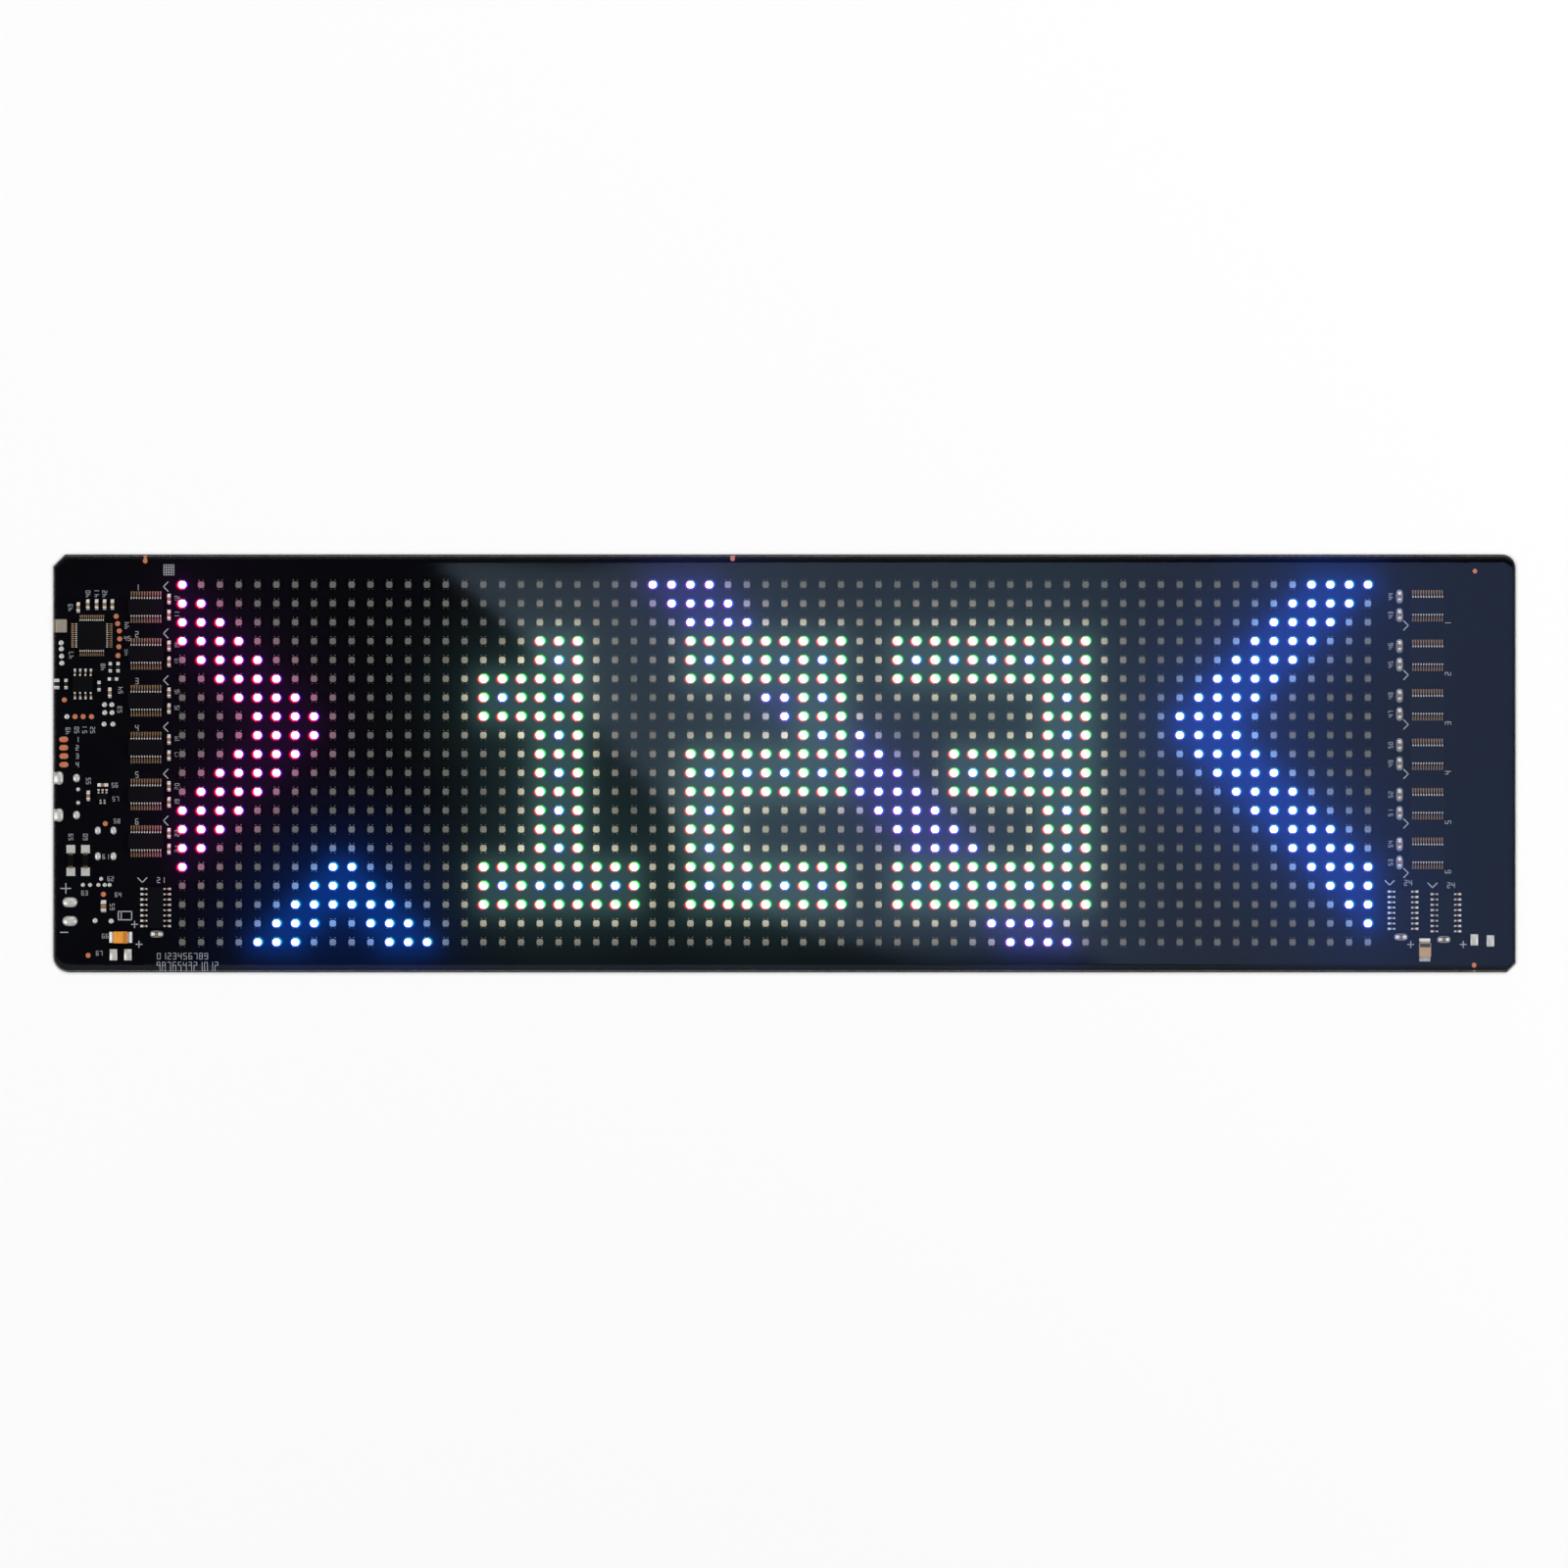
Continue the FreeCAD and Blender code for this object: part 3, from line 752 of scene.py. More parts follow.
# Each standard package: how many leads point right, up, left and down, then their pitch, width and
# reach, how far the solder goes beyond them, and its look
QSOP_24 = ((0, 12, 0, 12), 0.635, 0.25, 1.05, 0.75, TIN)
SOP_16 = ((8, 0, 8, 0), 1.27, 0.40, 1.05, 0.65, SOLDER)
LQFP_48 = ((12, 12, 12, 12), 0.5, 0.22, 1.0, 0.4, TIN)
SOP_8 = ((0, 4, 0, 4), 1.27, 0.42, 1.05, 0.65, SOLDER)
SOT_23_5 = ((0, 3, 0, 2), 0.95, 0.4, 0.6, 0.35, SOLDER)
STACK = 6
DRIVERS = [f"driver_{side}_{number}" for side in ("left", "right") for number in range(1, STACK + 1)]
ROW_DRIVERS = ["row_driver_left", "row_driver_right_1", "row_driver_right_2"]


def chip_shape(length, width, height):
    """A moulded body that stands off the board, drafted from its parting line, its top edge broken."""
    middle, top, edge = BOARD_TOP + height / 2, BOARD_TOP + height, CHIP_BROKEN_EDGE
    levels = [(FOOT_INSET, BOARD_TOP + CHIP_STAND_OFF), (0, middle - edge), (0, middle + edge),
              (SHOULDER_INSET, top - edge), (TOP_INSET, top)]
    return loft(body_rings(length, width, CHIP_CORNER, levels))


# A lead's knee and heel as shares of its reach, how far its top enters the body, the lower faces of its
# foot, and the solder: how far back it starts, how high it stands and how much wider it ends
KNEE, HEEL, LEAD_ENTRY, FOOT_SHARE = 0.36, 0.58, 0.05, 0.9
HEEL_LIFT, TOE_LIFT, HEEL_LOW, TOE_LOW = 0.06, 0.03, 0.03, 0.02
JOINT_START, JOINT_HEIGHT, JOINT_END_HEIGHT, JOINT_SPREAD = 0.15, 0.11, 0.04, 1.45


def lead_shapes(reach, shoulder, width, pad):
    """A gull-wing lead from a body's side at X 0: its level top, its bent foot, and its solder."""
    t = LEAD_THICKNESS
    knee, heel = reach * KNEE, reach * HEEL
    top = strip([(-LEAD_ENTRY, shoulder + t / 2), (knee, shoulder + t / 2)],
                [(-LEAD_ENTRY, shoulder - t / 2), (knee, shoulder - t / 2)], width)
    foot = strip([(knee, shoulder + t / 2), (heel, t + HEEL_LIFT), (reach, t + TOE_LIFT)],
                 [(knee, shoulder - t / 2), (heel - t * 0.6, HEEL_LOW), (reach, TOE_LOW)],
                 width * FOOT_SHARE)
    upper = [(reach - JOINT_START, t + TOE_LIFT), (reach + pad * 0.3, JOINT_HEIGHT),
             (reach + pad, JOINT_END_HEIGHT)]
    solder = slope(upper, width, width * JOINT_SPREAD)
    return [placed(shape, 0, 0, BOARD_TOP) for shape in (top, foot, solder)]


def side_places(count, pitch, across, turn):
    """Where one side's leads start: each as X, Y and turn, for a side that faces along turn."""
    c, s = math.cos(math.radians(turn)), math.sin(math.radians(turn))
    offsets = [(i - (count - 1) / 2) * pitch for i in range(count)]
    return [(across * c - k * s, across * s + k * c, turn) for k in offsets]


def leaded_chip(node, sides, pitch, lead_width, reach, pad, solder_look):
    """A chip with its leads, by its package."""
    box = box_of(node)
    (x, y), size = middle_and_size(box)
    height = box[1][2] - BOARD_TOP
    chip = chip_shape(size[0], size[1], height)
    lead = lead_shapes(reach, height / 2, lead_width, pad)
    placed_parts = ([], [], [])
    for quarter, count in enumerate(sides):
        across = size[quarter % 2] / 2
        for px, py, turn in side_places(count, pitch, across, 90 * quarter):
            for group, shape in zip(placed_parts, lead):
                group.append(placed(shape, x + px, y + py, 0, turn))
    piece(f"{node}_body", placed(chip, x, y), CHIP, "chip_plastic", [node])
    # The lead tops take the tin with the painted highlight
    looks = (("lead_tops", TIN_PAINTED_HIGHLIGHT), ("lead_feet", TIN), ("lead_solder", solder_look))
    for (name, look), group in zip(looks, placed_parts):
        piece(f"{node}_{name}", joined(group), look, "solder")


def build_chips():
    """Every chip, with the leads of its standard package."""
    packages = [(DRIVERS, QSOP_24), (ROW_DRIVERS, SOP_16), (["controller"], LQFP_48),
                (["memory_chip"], SOP_8), (["regulator"], SOT_23_5)]
    for nodes, package in packages:
        for node in nodes:
            leaded_chip(node, *package)


# Two-ended parts

def solids_of(node):
    """The box of each separate solid in a node, in millimetres."""
    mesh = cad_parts[node].data
    keys = [tuple(round(c, 6) for c in vertex.co) for vertex in mesh.vertices]
    parent = {key: key for key in keys}

    def root(key):
        while parent[key] != key:
            key = parent[key]
        return key

    for edge in mesh.edges:
        parent[root(keys[edge.vertices[0]])] = root(keys[edge.vertices[1]])
    groups = {}
    for key in parent:
        groups.setdefault(root(key), []).append(key)
    return [(np.min(g, axis=0) / MM, np.max(g, axis=0) / MM) for g in groups.values()]


# How much narrower and lower a small part's body is than its plated ends, the edge of those ends, and
# the solder: how far up it climbs, as a share and at most, and its profile away from the end
BODY_NARROWER, BODY_LOWER, CAP_EDGE = 0.04, 0.03, 0.05
CLIMB_SHARE, MOST_CLIMB = 0.75, 0.5
BEND_OUT, BEND_SHARE, SKIRT_OUT, SKIRT_HEIGHT, SKIRT_SHARE = 0.12, 0.4, 0.45, 0.06, 0.95


def chip_part(length, width, height, end):
    """A two-ended part along X: its body, its two plated ends, and the solder that holds them."""
    low, high = BOARD_TOP, BOARD_TOP + height
    body = block(length - 2 * end, width - BODY_NARROWER, low, high - BODY_LOWER)
    cap = block(end, width, low, high, CAP_EDGE)
    reach = (length - end) / 2
    ends = [placed(cap, side * reach, 0) for side in (-1, 1)]
    rise = min(height * CLIMB_SHARE, MOST_CLIMB)
    upper = [(0, low + rise), (BEND_OUT, low + rise * BEND_SHARE), (SKIRT_OUT, low + SKIRT_HEIGHT)]
    run = placed(slope(upper, width * SKIRT_SHARE, foot=low), length / 2, 0)
    solder = [placed(run, 0, 0, 0, turn) for turn in (0, 180)]
    return body, joined(ends), joined(solder)


def two_ended(name, node, material, slot, end):
    """All the two-ended parts of a node, each along its longer side."""
    bodies, ends, solder = [], [], []
    for box in solids_of(node):
        (x, y), size = middle_and_size(box)
        turn = 0 if size[0] > size[1] else 90
        parts = chip_part(max(size[:2]), min(size[:2]), box[1][2] - BOARD_TOP, end)
        for group, shape in zip((bodies, ends, solder), parts):
            group.append(placed(shape, x, y, 0, turn))
    piece(f"{name}_bodies", joined(bodies), material, slot, [node])
    # The plated ends take the tin with the painted highlight
    piece(f"{name}_ends", joined(ends), TIN_PAINTED_HIGHLIGHT, "solder")
    piece(f"{name}_solder", joined(solder), SOLDER, "solder")


CAPACITOR_END, RESISTOR_END = 0.35, 0.3


def build_small_parts():
    """The ceramic capacitors and the resistors."""
    for side in ("left", "right"):
        for kind in ("driver", "ceramic"):
            two_ended(f"{kind}_capacitor_{side}", f"{kind}_capacitors_{side}", CERAMIC,
                      "capacitor_ceramic", CAPACITOR_END)
    two_ended("resistor", "resistors", RESISTOR, "resistor_film", RESISTOR_END)


# A diode's flat lead, out from the body and up, its thickness and width, and its long pad
DIODE_LEAD = [(-0.05, 0.5), (0.18, 0.5), (0.3, 0.2), (0.5, 0.18)]
DIODE_LEAD_THICKNESS, DIODE_LEAD_WIDTH = 0.16, 1.1
DIODE_PAD, DIODE_PAD_OUT = (2.0, 2.1, 0, 0.12, 0.05), 1.35


def build_diodes():
    """The two supply diodes: moulded bodies with flat leads, on long tinned pads."""
    bodies, leads, pads = [], [], []
    for box in solids_of("diodes"):
        (x, y), size = middle_and_size(box)
        bodies.append(placed(chip_shape(size[1], size[0], size[2]), x, y, 0, 90))
        lower = [(px, max(pz - DIODE_LEAD_THICKNESS, 0.02)) for px, pz in DIODE_LEAD]
        lead = placed(strip(DIODE_LEAD, lower, DIODE_LEAD_WIDTH), size[1] / 2, 0, BOARD_TOP)
        pad = placed(block(*DIODE_PAD), size[1] / 2 + DIODE_PAD_OUT, 0, BOARD_TOP)
        for turn in (90, 270):
            leads.append(placed(placed(lead, 0, 0, 0, turn), x, y))
            pads.append(placed(placed(pad, 0, 0, 0, turn), x, y))
    piece("diode_bodies", joined(bodies), CHIP, "chip_plastic", ["diodes"])
    piece("diode_leads", joined(leads), TIN, "solder")
    piece("diode_pads", joined(pads), SOLDER, "solder")


# The tantalum capacitors. The body's corners, and the heights of its parting line (as a share) and of
# its broken edge (below the top)
TANTALUM_CORNER, TANTALUM_PARTING, TANTALUM_EDGE = 0.08, 0.52, 0.06
# The band's width, how much narrower than the body it is, its place from the body's end, and how far
# it goes into the top and stands over it
BAND_WIDTH, BAND_MARGIN, BAND_PLACE, BAND_ROOT, BAND_RISE = 0.9, 0.4, 0.65, 0.02, 0.01
# The bent terminal strip, and the solder that runs out from its foot
TERMINAL_THICKNESS, TERMINAL_WIDTH, TERMINAL_HEIGHT, TERMINAL_BEVEL = 0.15, 2.2, 1.0, 0.03
TERMINAL_SOLDER, TERMINAL_SOLDER_WIDTH = [(0, 0.6), (0.2, 0.3), (0.6, 0.12), (0.85, 0.05)], 2.6


def tantalum(node, material, band_look):
    """A moulded tantalum capacitor: body, polarity band at one end, and bent terminal strips."""
    box = box_of(node)
    (x, y), size = middle_and_size(box)
    turn = 0 if size[0] > size[1] else 90
    length, width = max(size[:2]) - 2 * TERMINAL_THICKNESS, min(size[:2])
    top = box[1][2]
    levels = [(TANTALUM_CORNER, BOARD_TOP + 0.05), (0, BOARD_TOP + (top - BOARD_TOP) * TANTALUM_PARTING),
              (0.1, top - TANTALUM_EDGE), (0.18, top)]
    body = loft(body_rings(length, width, TANTALUM_CORNER, levels))
    piece(f"{node}_body", placed(body, x, y, 0, turn), material, "tantalum_plastic", [node])
    band = placed(block(BAND_WIDTH, width - BAND_MARGIN, top - BAND_ROOT, top + BAND_RISE),
                  length / 2 - BAND_PLACE, 0)
    piece(f"{node}_band", placed(band, x, y, 0, turn), band_look, "chip_plastic")
    terminal = block(TERMINAL_THICKNESS, TERMINAL_WIDTH, BOARD_TOP, BOARD_TOP + TERMINAL_HEIGHT,
                     TERMINAL_BEVEL)
    foot = placed(slope(TERMINAL_SOLDER, TERMINAL_SOLDER_WIDTH), length / 2 + TERMINAL_THICKNESS, 0,
                  BOARD_TOP)
    metal = [placed(terminal, side * (length + TERMINAL_THICKNESS) / 2, 0) for side in (-1, 1)]
    metal += [placed(foot, 0, 0, 0, half_turn) for half_turn in (0, 180)]
    piece(f"{node}_terminals", placed(joined(metal), x, y, 0, turn), SOLDER, "solder")


LID_HEIGHT, LID_CORNER, LID_INSET, LID_TOP_INSET = 0.2, 0.2, 0.1, 0.16


def build_crystal():
    """The crystal: a ceramic tub with a welded metal lid."""
    box = box_of("crystal")
    (x, y), (length, width, _) = middle_and_size(box)
    top, seam = box[1][2], box[1][2] - LID_HEIGHT
    tub = loft(body_rings(length, width, LID_CORNER, [(0, BOARD_TOP), (0, seam)], 3))
    sides = body_rings(length, width, LID_CORNER, [(LID_INSET, seam), (LID_INSET, top - 0.04)], 3)
    lid = loft(sides + body_rings(length, width, LID_TOP_INSET, [(LID_TOP_INSET, top)], 3))
    piece("crystal_tub", placed(tub, x, y), CERAMIC, "capacitor_ceramic", ["crystal"])
    piece("crystal_lid", placed(lid, x, y), LID, "crystal_can")


# Solder beads, pads and print on the board. Places in the end zones are out from the centre of the
# outer LED column, then the height on the board.

def left(place):
    """The point of a place in the left end zone."""
    return LEFT_END - place[0], place[1]


def right(place):
    """The point of a place in the right end zone."""
    return RIGHT_END + place[0], place[1]


COPPER_DOTS_LEFT = [(22.55, -45.9), (15.85, 35.2), (15.5, 33.45), (15.1, 31.7), (15.0, 29.8),
                    (15.2, 27.9), (15.4, 25.8), (28.25, 15.2), (25.7, 11.2), (23.75, 11.2),
                    (21.75, 11.2), (18.45, -14.4), (18.9, -31.3)]
ALIGNMENT_DOTS = [(LEFT_END - 8.9, 48.4), (-12.4, 48.9), (RIGHT_END + 25.65, 46.0),
                  (RIGHT_END + 25.45, -48.2)]
SILVER_DOTS_LEFT = [(29.0, 28.85), (28.95, 27.4), (28.9, 25.65), (28.85, 24.0), (27.65, 11.2),
                    (18.65, 14.05), (16.9, 14.05), (18.6, 12.15), (16.85, 12.15), (18.75, 9.4),
                    (16.65, 9.4), (20.9, -37.6), (17.05, -37.7)]
SMALL_DOTS_LEFT = [(23.8, -29.05), (22.1, -29.05), (20.1, -29.05), (18.6, -29.05),
                   (19.45, -27.6), (17.45, -29.05)]
OVAL_PADS_LEFT = [(28.4, 5.75), (28.4, 3.75), (28.35, 1.75), (28.35, -0.3)]
SQUARE_PADS_LEFT = [(16.5, -45.75), (13.05, -45.75)]
SQUARE_PADS_RIGHT = [(25.5, -42.2), (29.35, -42.45)]


COPPER_HEIGHT, TEST_PAD_RADIUS, ALIGNMENT_RADIUS = 0.03, 0.6, 0.55
# A bead's rings, as insets from its edge and rises, both as shares
BEAD_CROWN = ((0.0, 0.0), (0.04, 0.25), (0.16, 0.6), (0.4, 0.88), (0.7, 1.0))
TINNED_DOT, SMALL_DOT = (1.2, 1.2, 0.16), (0.95, 0.95, 0.12)
# Half the length and width of an oval pad with the radius of its corners, at its foot and at its top
OVAL_FOOT, OVAL_TOP = (1.05, 0.66, 0.64), (1.0, 0.61, 0.59)
SQUARE_PAD, SQUARE_PAD_HEIGHT, SQUARE_PAD_EDGE = (1.8, 2.7), 0.12, 0.06


def dot(radius):
    """A low round pad of copper."""
    low, height = BOARD_TOP, COPPER_HEIGHT
    return loft([circle_ring(radius, low), circle_ring(radius, low + height * 0.6),
                 circle_ring(radius * 0.9, low + height)], False, True)


def oval_bead(length, width, height):
    """A low crowned bead of solder on an oval pad."""
    rings = []
    for inset, rise in BEAD_CROWN:
        x, y = length / 2 * (1 - inset), width / 2 * (1 - inset)
        rings.append(rounded_ring(x, y, min(x, y) * 0.98, BOARD_TOP + height * rise, 4))
    return loft(rings, False, True)


def build_pads():
    """Copper test pads and alignment dots, and tinned pads that hold nothing."""
    copper = [placed(dot(TEST_PAD_RADIUS), *left(place)) for place in COPPER_DOTS_LEFT]
    copper += [placed(dot(ALIGNMENT_RADIUS), *place) for place in ALIGNMENT_DOTS]
    oval = loft([rounded_ring(*OVAL_FOOT, BOARD_TOP, 4),
                 rounded_ring(*OVAL_TOP, BOARD_TOP + COPPER_HEIGHT, 4)], False, True)
    copper += [placed(oval, *left(place)) for place in OVAL_PADS_LEFT]
    piece("copper_pads", joined(copper), COPPER, "copper")
    silver = [placed(oval_bead(*TINNED_DOT), *left(place)) for place in SILVER_DOTS_LEFT]
    silver += [placed(oval_bead(*SMALL_DOT), *left(place)) for place in SMALL_DOTS_LEFT]
    square = block(*SQUARE_PAD, BOARD_TOP, BOARD_TOP + SQUARE_PAD_HEIGHT, SQUARE_PAD_EDGE)
    silver += [placed(square, *left(place)) for place in SQUARE_PADS_LEFT]
    silver += [placed(square, *right(place)) for place in SQUARE_PADS_RIGHT]
    piece("tinned_pads", joined(silver), SOLDER, "solder", smooth=PAD_SHARP)


def build_beads():
    """The solder on the socket's and the button's legs, and on the two supply pads."""
    for node in ("socket_solder", "button_solder", "supply_solder"):
        beads = []
        for box in solids_of(node):
            (x, y), size = middle_and_size(box)
            beads.append(placed(oval_bead(*size), x, y))
        piece(f"{node}_beads", joined(beads), SOLDER, "solder", [node], smooth=ROUND_SHARP)


# Print: thin ribbons of ink. Small numerals are made of the seven bars of a plain display.

INK_THICKNESS = 0.015
INK_WIDTH, OUTLINE_INK, LATTICE_INK, NUMBER_INK, LINE_INK, FINE_INK = 0.22, 0.2, 0.16, 0.14, 0.13, 0.12
# The angles of a half circle, in radians
HALF_CIRCLE = np.linspace(-1.57, 1.57, 7)
# The bars: top, upper left, upper right, middle, lower left, lower right and bottom
BARS = [((0, 2), (1, 2)), ((0, 1), (0, 2)), ((1, 1), (1, 2)), ((0, 1), (1, 1)), ((0, 0), (0, 1)),
        ((1, 0), (1, 1)), ((0, 0), (1, 0))]
# For each digit from 0 to 9, the places of its bars in that list
DIGIT_BARS = ["012456", "25", "02346", "02356", "1235", "01356", "013456", "025", "0123456", "012356"]


def ribbon(points, width=INK_WIDTH):
    """Ink along straight runs, as wide as this."""
    runs = []
    for (ax, ay), (bx, by) in zip(points, points[1:]):
        length = math.hypot(bx - ax, by - ay) + width * 0.7
        run = block(length, width, BOARD_TOP, BOARD_TOP + INK_THICKNESS)
        turn = math.degrees(math.atan2(by - ay, bx - ax))
        runs.append(placed(run, (ax + bx) / 2, (ay + by) / 2, 0, turn))
    return joined(runs)


def number(value, height, x, y, turn=0, width=NUMBER_INK):
    """A small plain number, centred on a point."""
    step, wide = height / 2, height * 0.5
    gap = wide + height * 0.4
    text = str(value)
    shapes = []
    for place, digit in enumerate(text):
        start = (place - (len(text) - 1) / 2) * gap - wide / 2
        for bar in DIGIT_BARS[int(digit)]:
            (ax, ay), (bx, by) = BARS[int(bar)]
            line = [(start + ax * wide, (ay - 1) * step), (start + bx * wide, (by - 1) * step)]
            shapes.append(ribbon(line, width))
    return placed(joined(shapes), x, y, 0, turn)


def capsule(length, width, x, y, turn):
    """The printed outline round a small part: two half circles, joined by straight sides."""
    ends = [[(side * (length / 2 - width / 2 + width / 2 * math.cos(a)), side * width / 2 * math.sin(a))
             for a in HALF_CIRCLE] for side in (1, -1)]
    return placed(ribbon(ends[0] + ends[1] + ends[0][:1], OUTLINE_INK), x, y, 0, turn)


def plus(size, x, y):
    """A plus sign."""
    return placed(joined([ribbon([(-size / 2, 0), (size / 2, 0)]),
                          ribbon([(0, -size / 2), (0, size / 2)])]), x, y)


def chevron(size, x, y, turn):
    """An open arrow that marks a chip's first lead, pointing along turn."""
    return placed(ribbon([(-size / 2, size), (size / 2, 0), (-size / 2, -size)]), x, y, 0, turn)


def ink_lattice(side, lines):
    """A small square of crossed lines."""
    reach = side / 2
    places = np.linspace(-reach, reach, lines)
    runs = [ribbon([(-reach, at), (reach, at)], LATTICE_INK) for at in places]
    return joined(runs + [placed(run, 0, 0, 0, 90) for run in runs])


LEVEL_CAPACITORS = [left((6.15, -40.8)), right((7.95, -41.5)), right((18.2, -42.1))]
SMALL_NUMBERS_LEFT = [((22.6, 40.6), 90), ((20.5, 40.6), 90), ((18.6, 40.6), 90),
                      ((26.8, 37.3), 90), ((13.3, 33.0), 90), ((13.2, 29.9), 0), ((13.3, 26.6), 90),
                      ((26.6, 25.9), 90), ((19.0, 23.1), 90), ((27.4, 7.8), 90), ((25.3, 8.0), 90),
                      ((23.4, 8.0), 90), ((21.5, 8.0), 90), ((15.0, 12.9), 90), ((14.8, 17.5), 90),
                      ((22.5, -4.2), 90), ((16.2, -5.2), 0), ((16.0, -8.5), 0), ((15.7, -13.8), 0),
                      ((26.7, -17.6), 90), ((23.2, -17.6), 90), ((18.4, -22.3), 0),
                      ((17.2, -27.6), 0), ((23.4, -31.0), 0), ((15.4, -31.4), 0),
                      ((16.8, -34.3), 90), ((18.5, -41.3), 0), ((19.9, -45.4), 0)]
PLUS_SIGNS = [left((10.4, -43.25)), left((11.45, -38.5)), right((10.3, -43.3)), right((22.85, -43.3))]
# Two lines of plain digits: each with its place from the left end and its height on the board
DIGIT_LINES = [("0123456789", 0.0, -46.1), ("987654321012", 1.2, -48.25)]
ROW_DRIVER_NUMBERS = (21, 24, 24)
# How tall the numbers are beside the column drivers, row drivers, oval pads and small parts, and in the
# two lines of digits
DRIVER_DIGIT, ROW_DRIVER_DIGIT, PAD_DIGIT, SMALL_DIGIT, LINE_DIGIT = 1.3, 1.2, 1.1, 1.0, 1.4
FIRST_SMALL_NUMBER, PAD_NUMBER_OUT = 40, 3.2
# Above a row driver's end: the height of its arrow and number, and how far to each side they stand
ROW_MARK_RISE, ROW_ARROW_OUT, ROW_NUMBER_OUT = 1.6, 3.2, 1.2
ARROW, SMALL_PLUS, LARGE_PLUS, HALF_MINUS = 1.1, 1.5, 2.4, 0.9
SMALL_OUTLINE, LEVEL_OUTLINE = (3.1, 1.3), (3.0, 1.35)
SUPPLY_PLUS, SUPPLY_MINUS = left((27.9, -29.9)), left((28.3, -40.4))
EMPTY_OUTLINE, EMPTY_OUTLINE_SIZE = left((13.75, -36.4)), (1.6, 1.0, 0.9)
LATTICE_PLACE, LATTICE_SIDE, LATTICE_LINES = left((3.25, 46.3)), 2.4, 5
# Beside each column driver at either end: the arrow's place from the chip and its turn, the number's
# place and turn, the side place and spread of its capacitors' numbers, and the first of them
DRIVER_MARKS = {"left": ((4.7, 4.9, 180), (-2.2, 4.7, 0), 7.4, 1.9, 11),
                "right": ((-5.15, -4.7, 0), (4.9, -4.4, 90), -8.8, 2.2, 43)}


def driver_marks(side):
    """The arrow and the numbers beside each column driver at one end."""
    (arrow_x, arrow_y, arrow_turn), (x_out, y_out, turn), out, spread, first = DRIVER_MARKS[side]
    ink = []
    for index in range(STACK):
        x, y = middle_and_size(box_of(f"driver_{side}_{index + 1}"))[0]
        ink.append(chevron(ARROW, x + arrow_x, y + arrow_y, arrow_turn))
        ink.append(number(index + 1, DRIVER_DIGIT, x + x_out, y + y_out, turn))
        for count, rise in enumerate((-spread, spread)):
            ink.append(number(first + index * 2 + count, SMALL_DIGIT, x + out, y + rise, 90, FINE_INK))
    return ink


def framed_box(x, y, half_x, half_y, bar):
    """A printed outline, with a bar near one end."""
    corners = [(x - half_x, y - half_y), (x + half_x, y - half_y), (x + half_x, y + half_y),
               (x - half_x, y + half_y), (x - half_x, y - half_y)]
    return [ribbon(corners), ribbon([(x - bar, y - half_y), (x - bar, y + half_y)])]


def build_print():
    """The printed marks: arrows, outlines, signs and plain numbers."""
    ink = driver_marks("left") + driver_marks("right")
    for box in solids_of("driver_capacitors_right"):
        ink.append(capsule(*SMALL_OUTLINE, *middle_and_size(box)[0], 90))
    for node, value in zip(ROW_DRIVERS, ROW_DRIVER_NUMBERS):
        box = box_of(node)
        x, y = middle_and_size(box)[0][0], box[1][1] + ROW_MARK_RISE
        ink.append(chevron(ARROW, x - ROW_ARROW_OUT, y, 270))
        ink.append(number(value, ROW_DRIVER_DIGIT, x + ROW_NUMBER_OUT, y))
    ink += [plus(SMALL_PLUS, *place) for place in PLUS_SIGNS]
    ink.append(plus(LARGE_PLUS, *SUPPLY_PLUS))
    ink.append(placed(ribbon([(-HALF_MINUS, 0), (HALF_MINUS, 0)]), *SUPPLY_MINUS))
    ink += [capsule(*LEVEL_OUTLINE, *place, 0) for place in LEVEL_CAPACITORS]
    ink += [number(digits, LINE_DIGIT, LEFT_END + x, y, width=LINE_INK) for digits, x, y in DIGIT_LINES]
    ink += framed_box(*EMPTY_OUTLINE, *EMPTY_OUTLINE_SIZE)
    for count, place in enumerate(OVAL_PADS_LEFT):
        x, y = left(place)
        ink.append(number(count + 1, PAD_DIGIT, x + PAD_NUMBER_OUT, y))
    for count, (place, turn) in enumerate(SMALL_NUMBERS_LEFT):
        ink.append(number(FIRST_SMALL_NUMBER + count, SMALL_DIGIT, *left(place), turn, FINE_INK))
    ink.append(placed(ink_lattice(LATTICE_SIDE, LATTICE_LINES), *LATTICE_PLACE))
    piece("board_print", joined(ink), INK, "board_print")


# The stage: a plain pale floor, soft lamps, a flag above for the resin to reflect, and the camera

PHOTO_SIDE = 1600
PHOTO_BOARD_MIDDLE = (800.5, 779)
MM_PER_PHOTO_PIXEL = 350 / 1495
CAMERA_HEIGHT = 1500.0
VIEW_X = (PHOTO_SIDE / 2 - PHOTO_BOARD_MIDDLE[0]) * MM_PER_PHOTO_PIXEL
VIEW_Y = (PHOTO_BOARD_MIDDLE[1] - PHOTO_SIDE / 2) * MM_PER_PHOTO_PIXEL


def build_camera():
    """Straight above the screen, with the photograph's frame."""
    data = bpy.data.cameras.new("camera")
    data.sensor_width = 36.0
    data.lens = data.sensor_width * (CAMERA_HEIGHT - coat_high[2]) / (PHOTO_SIDE * MM_PER_PHOTO_PIXEL)
    camera = new_object("camera", data)
    camera.location = (VIEW_X * MM, VIEW_Y * MM, CAMERA_HEIGHT * MM)
    bpy.context.scene.camera = camera


def stage_mesh(name, points, faces, material):
    """A piece of the stage."""
    mesh = bpy.data.meshes.new(name)
    mesh.from_pydata(points, [], faces)
    mesh.materials.append(material)
    made = new_object(name, mesh)
    return made


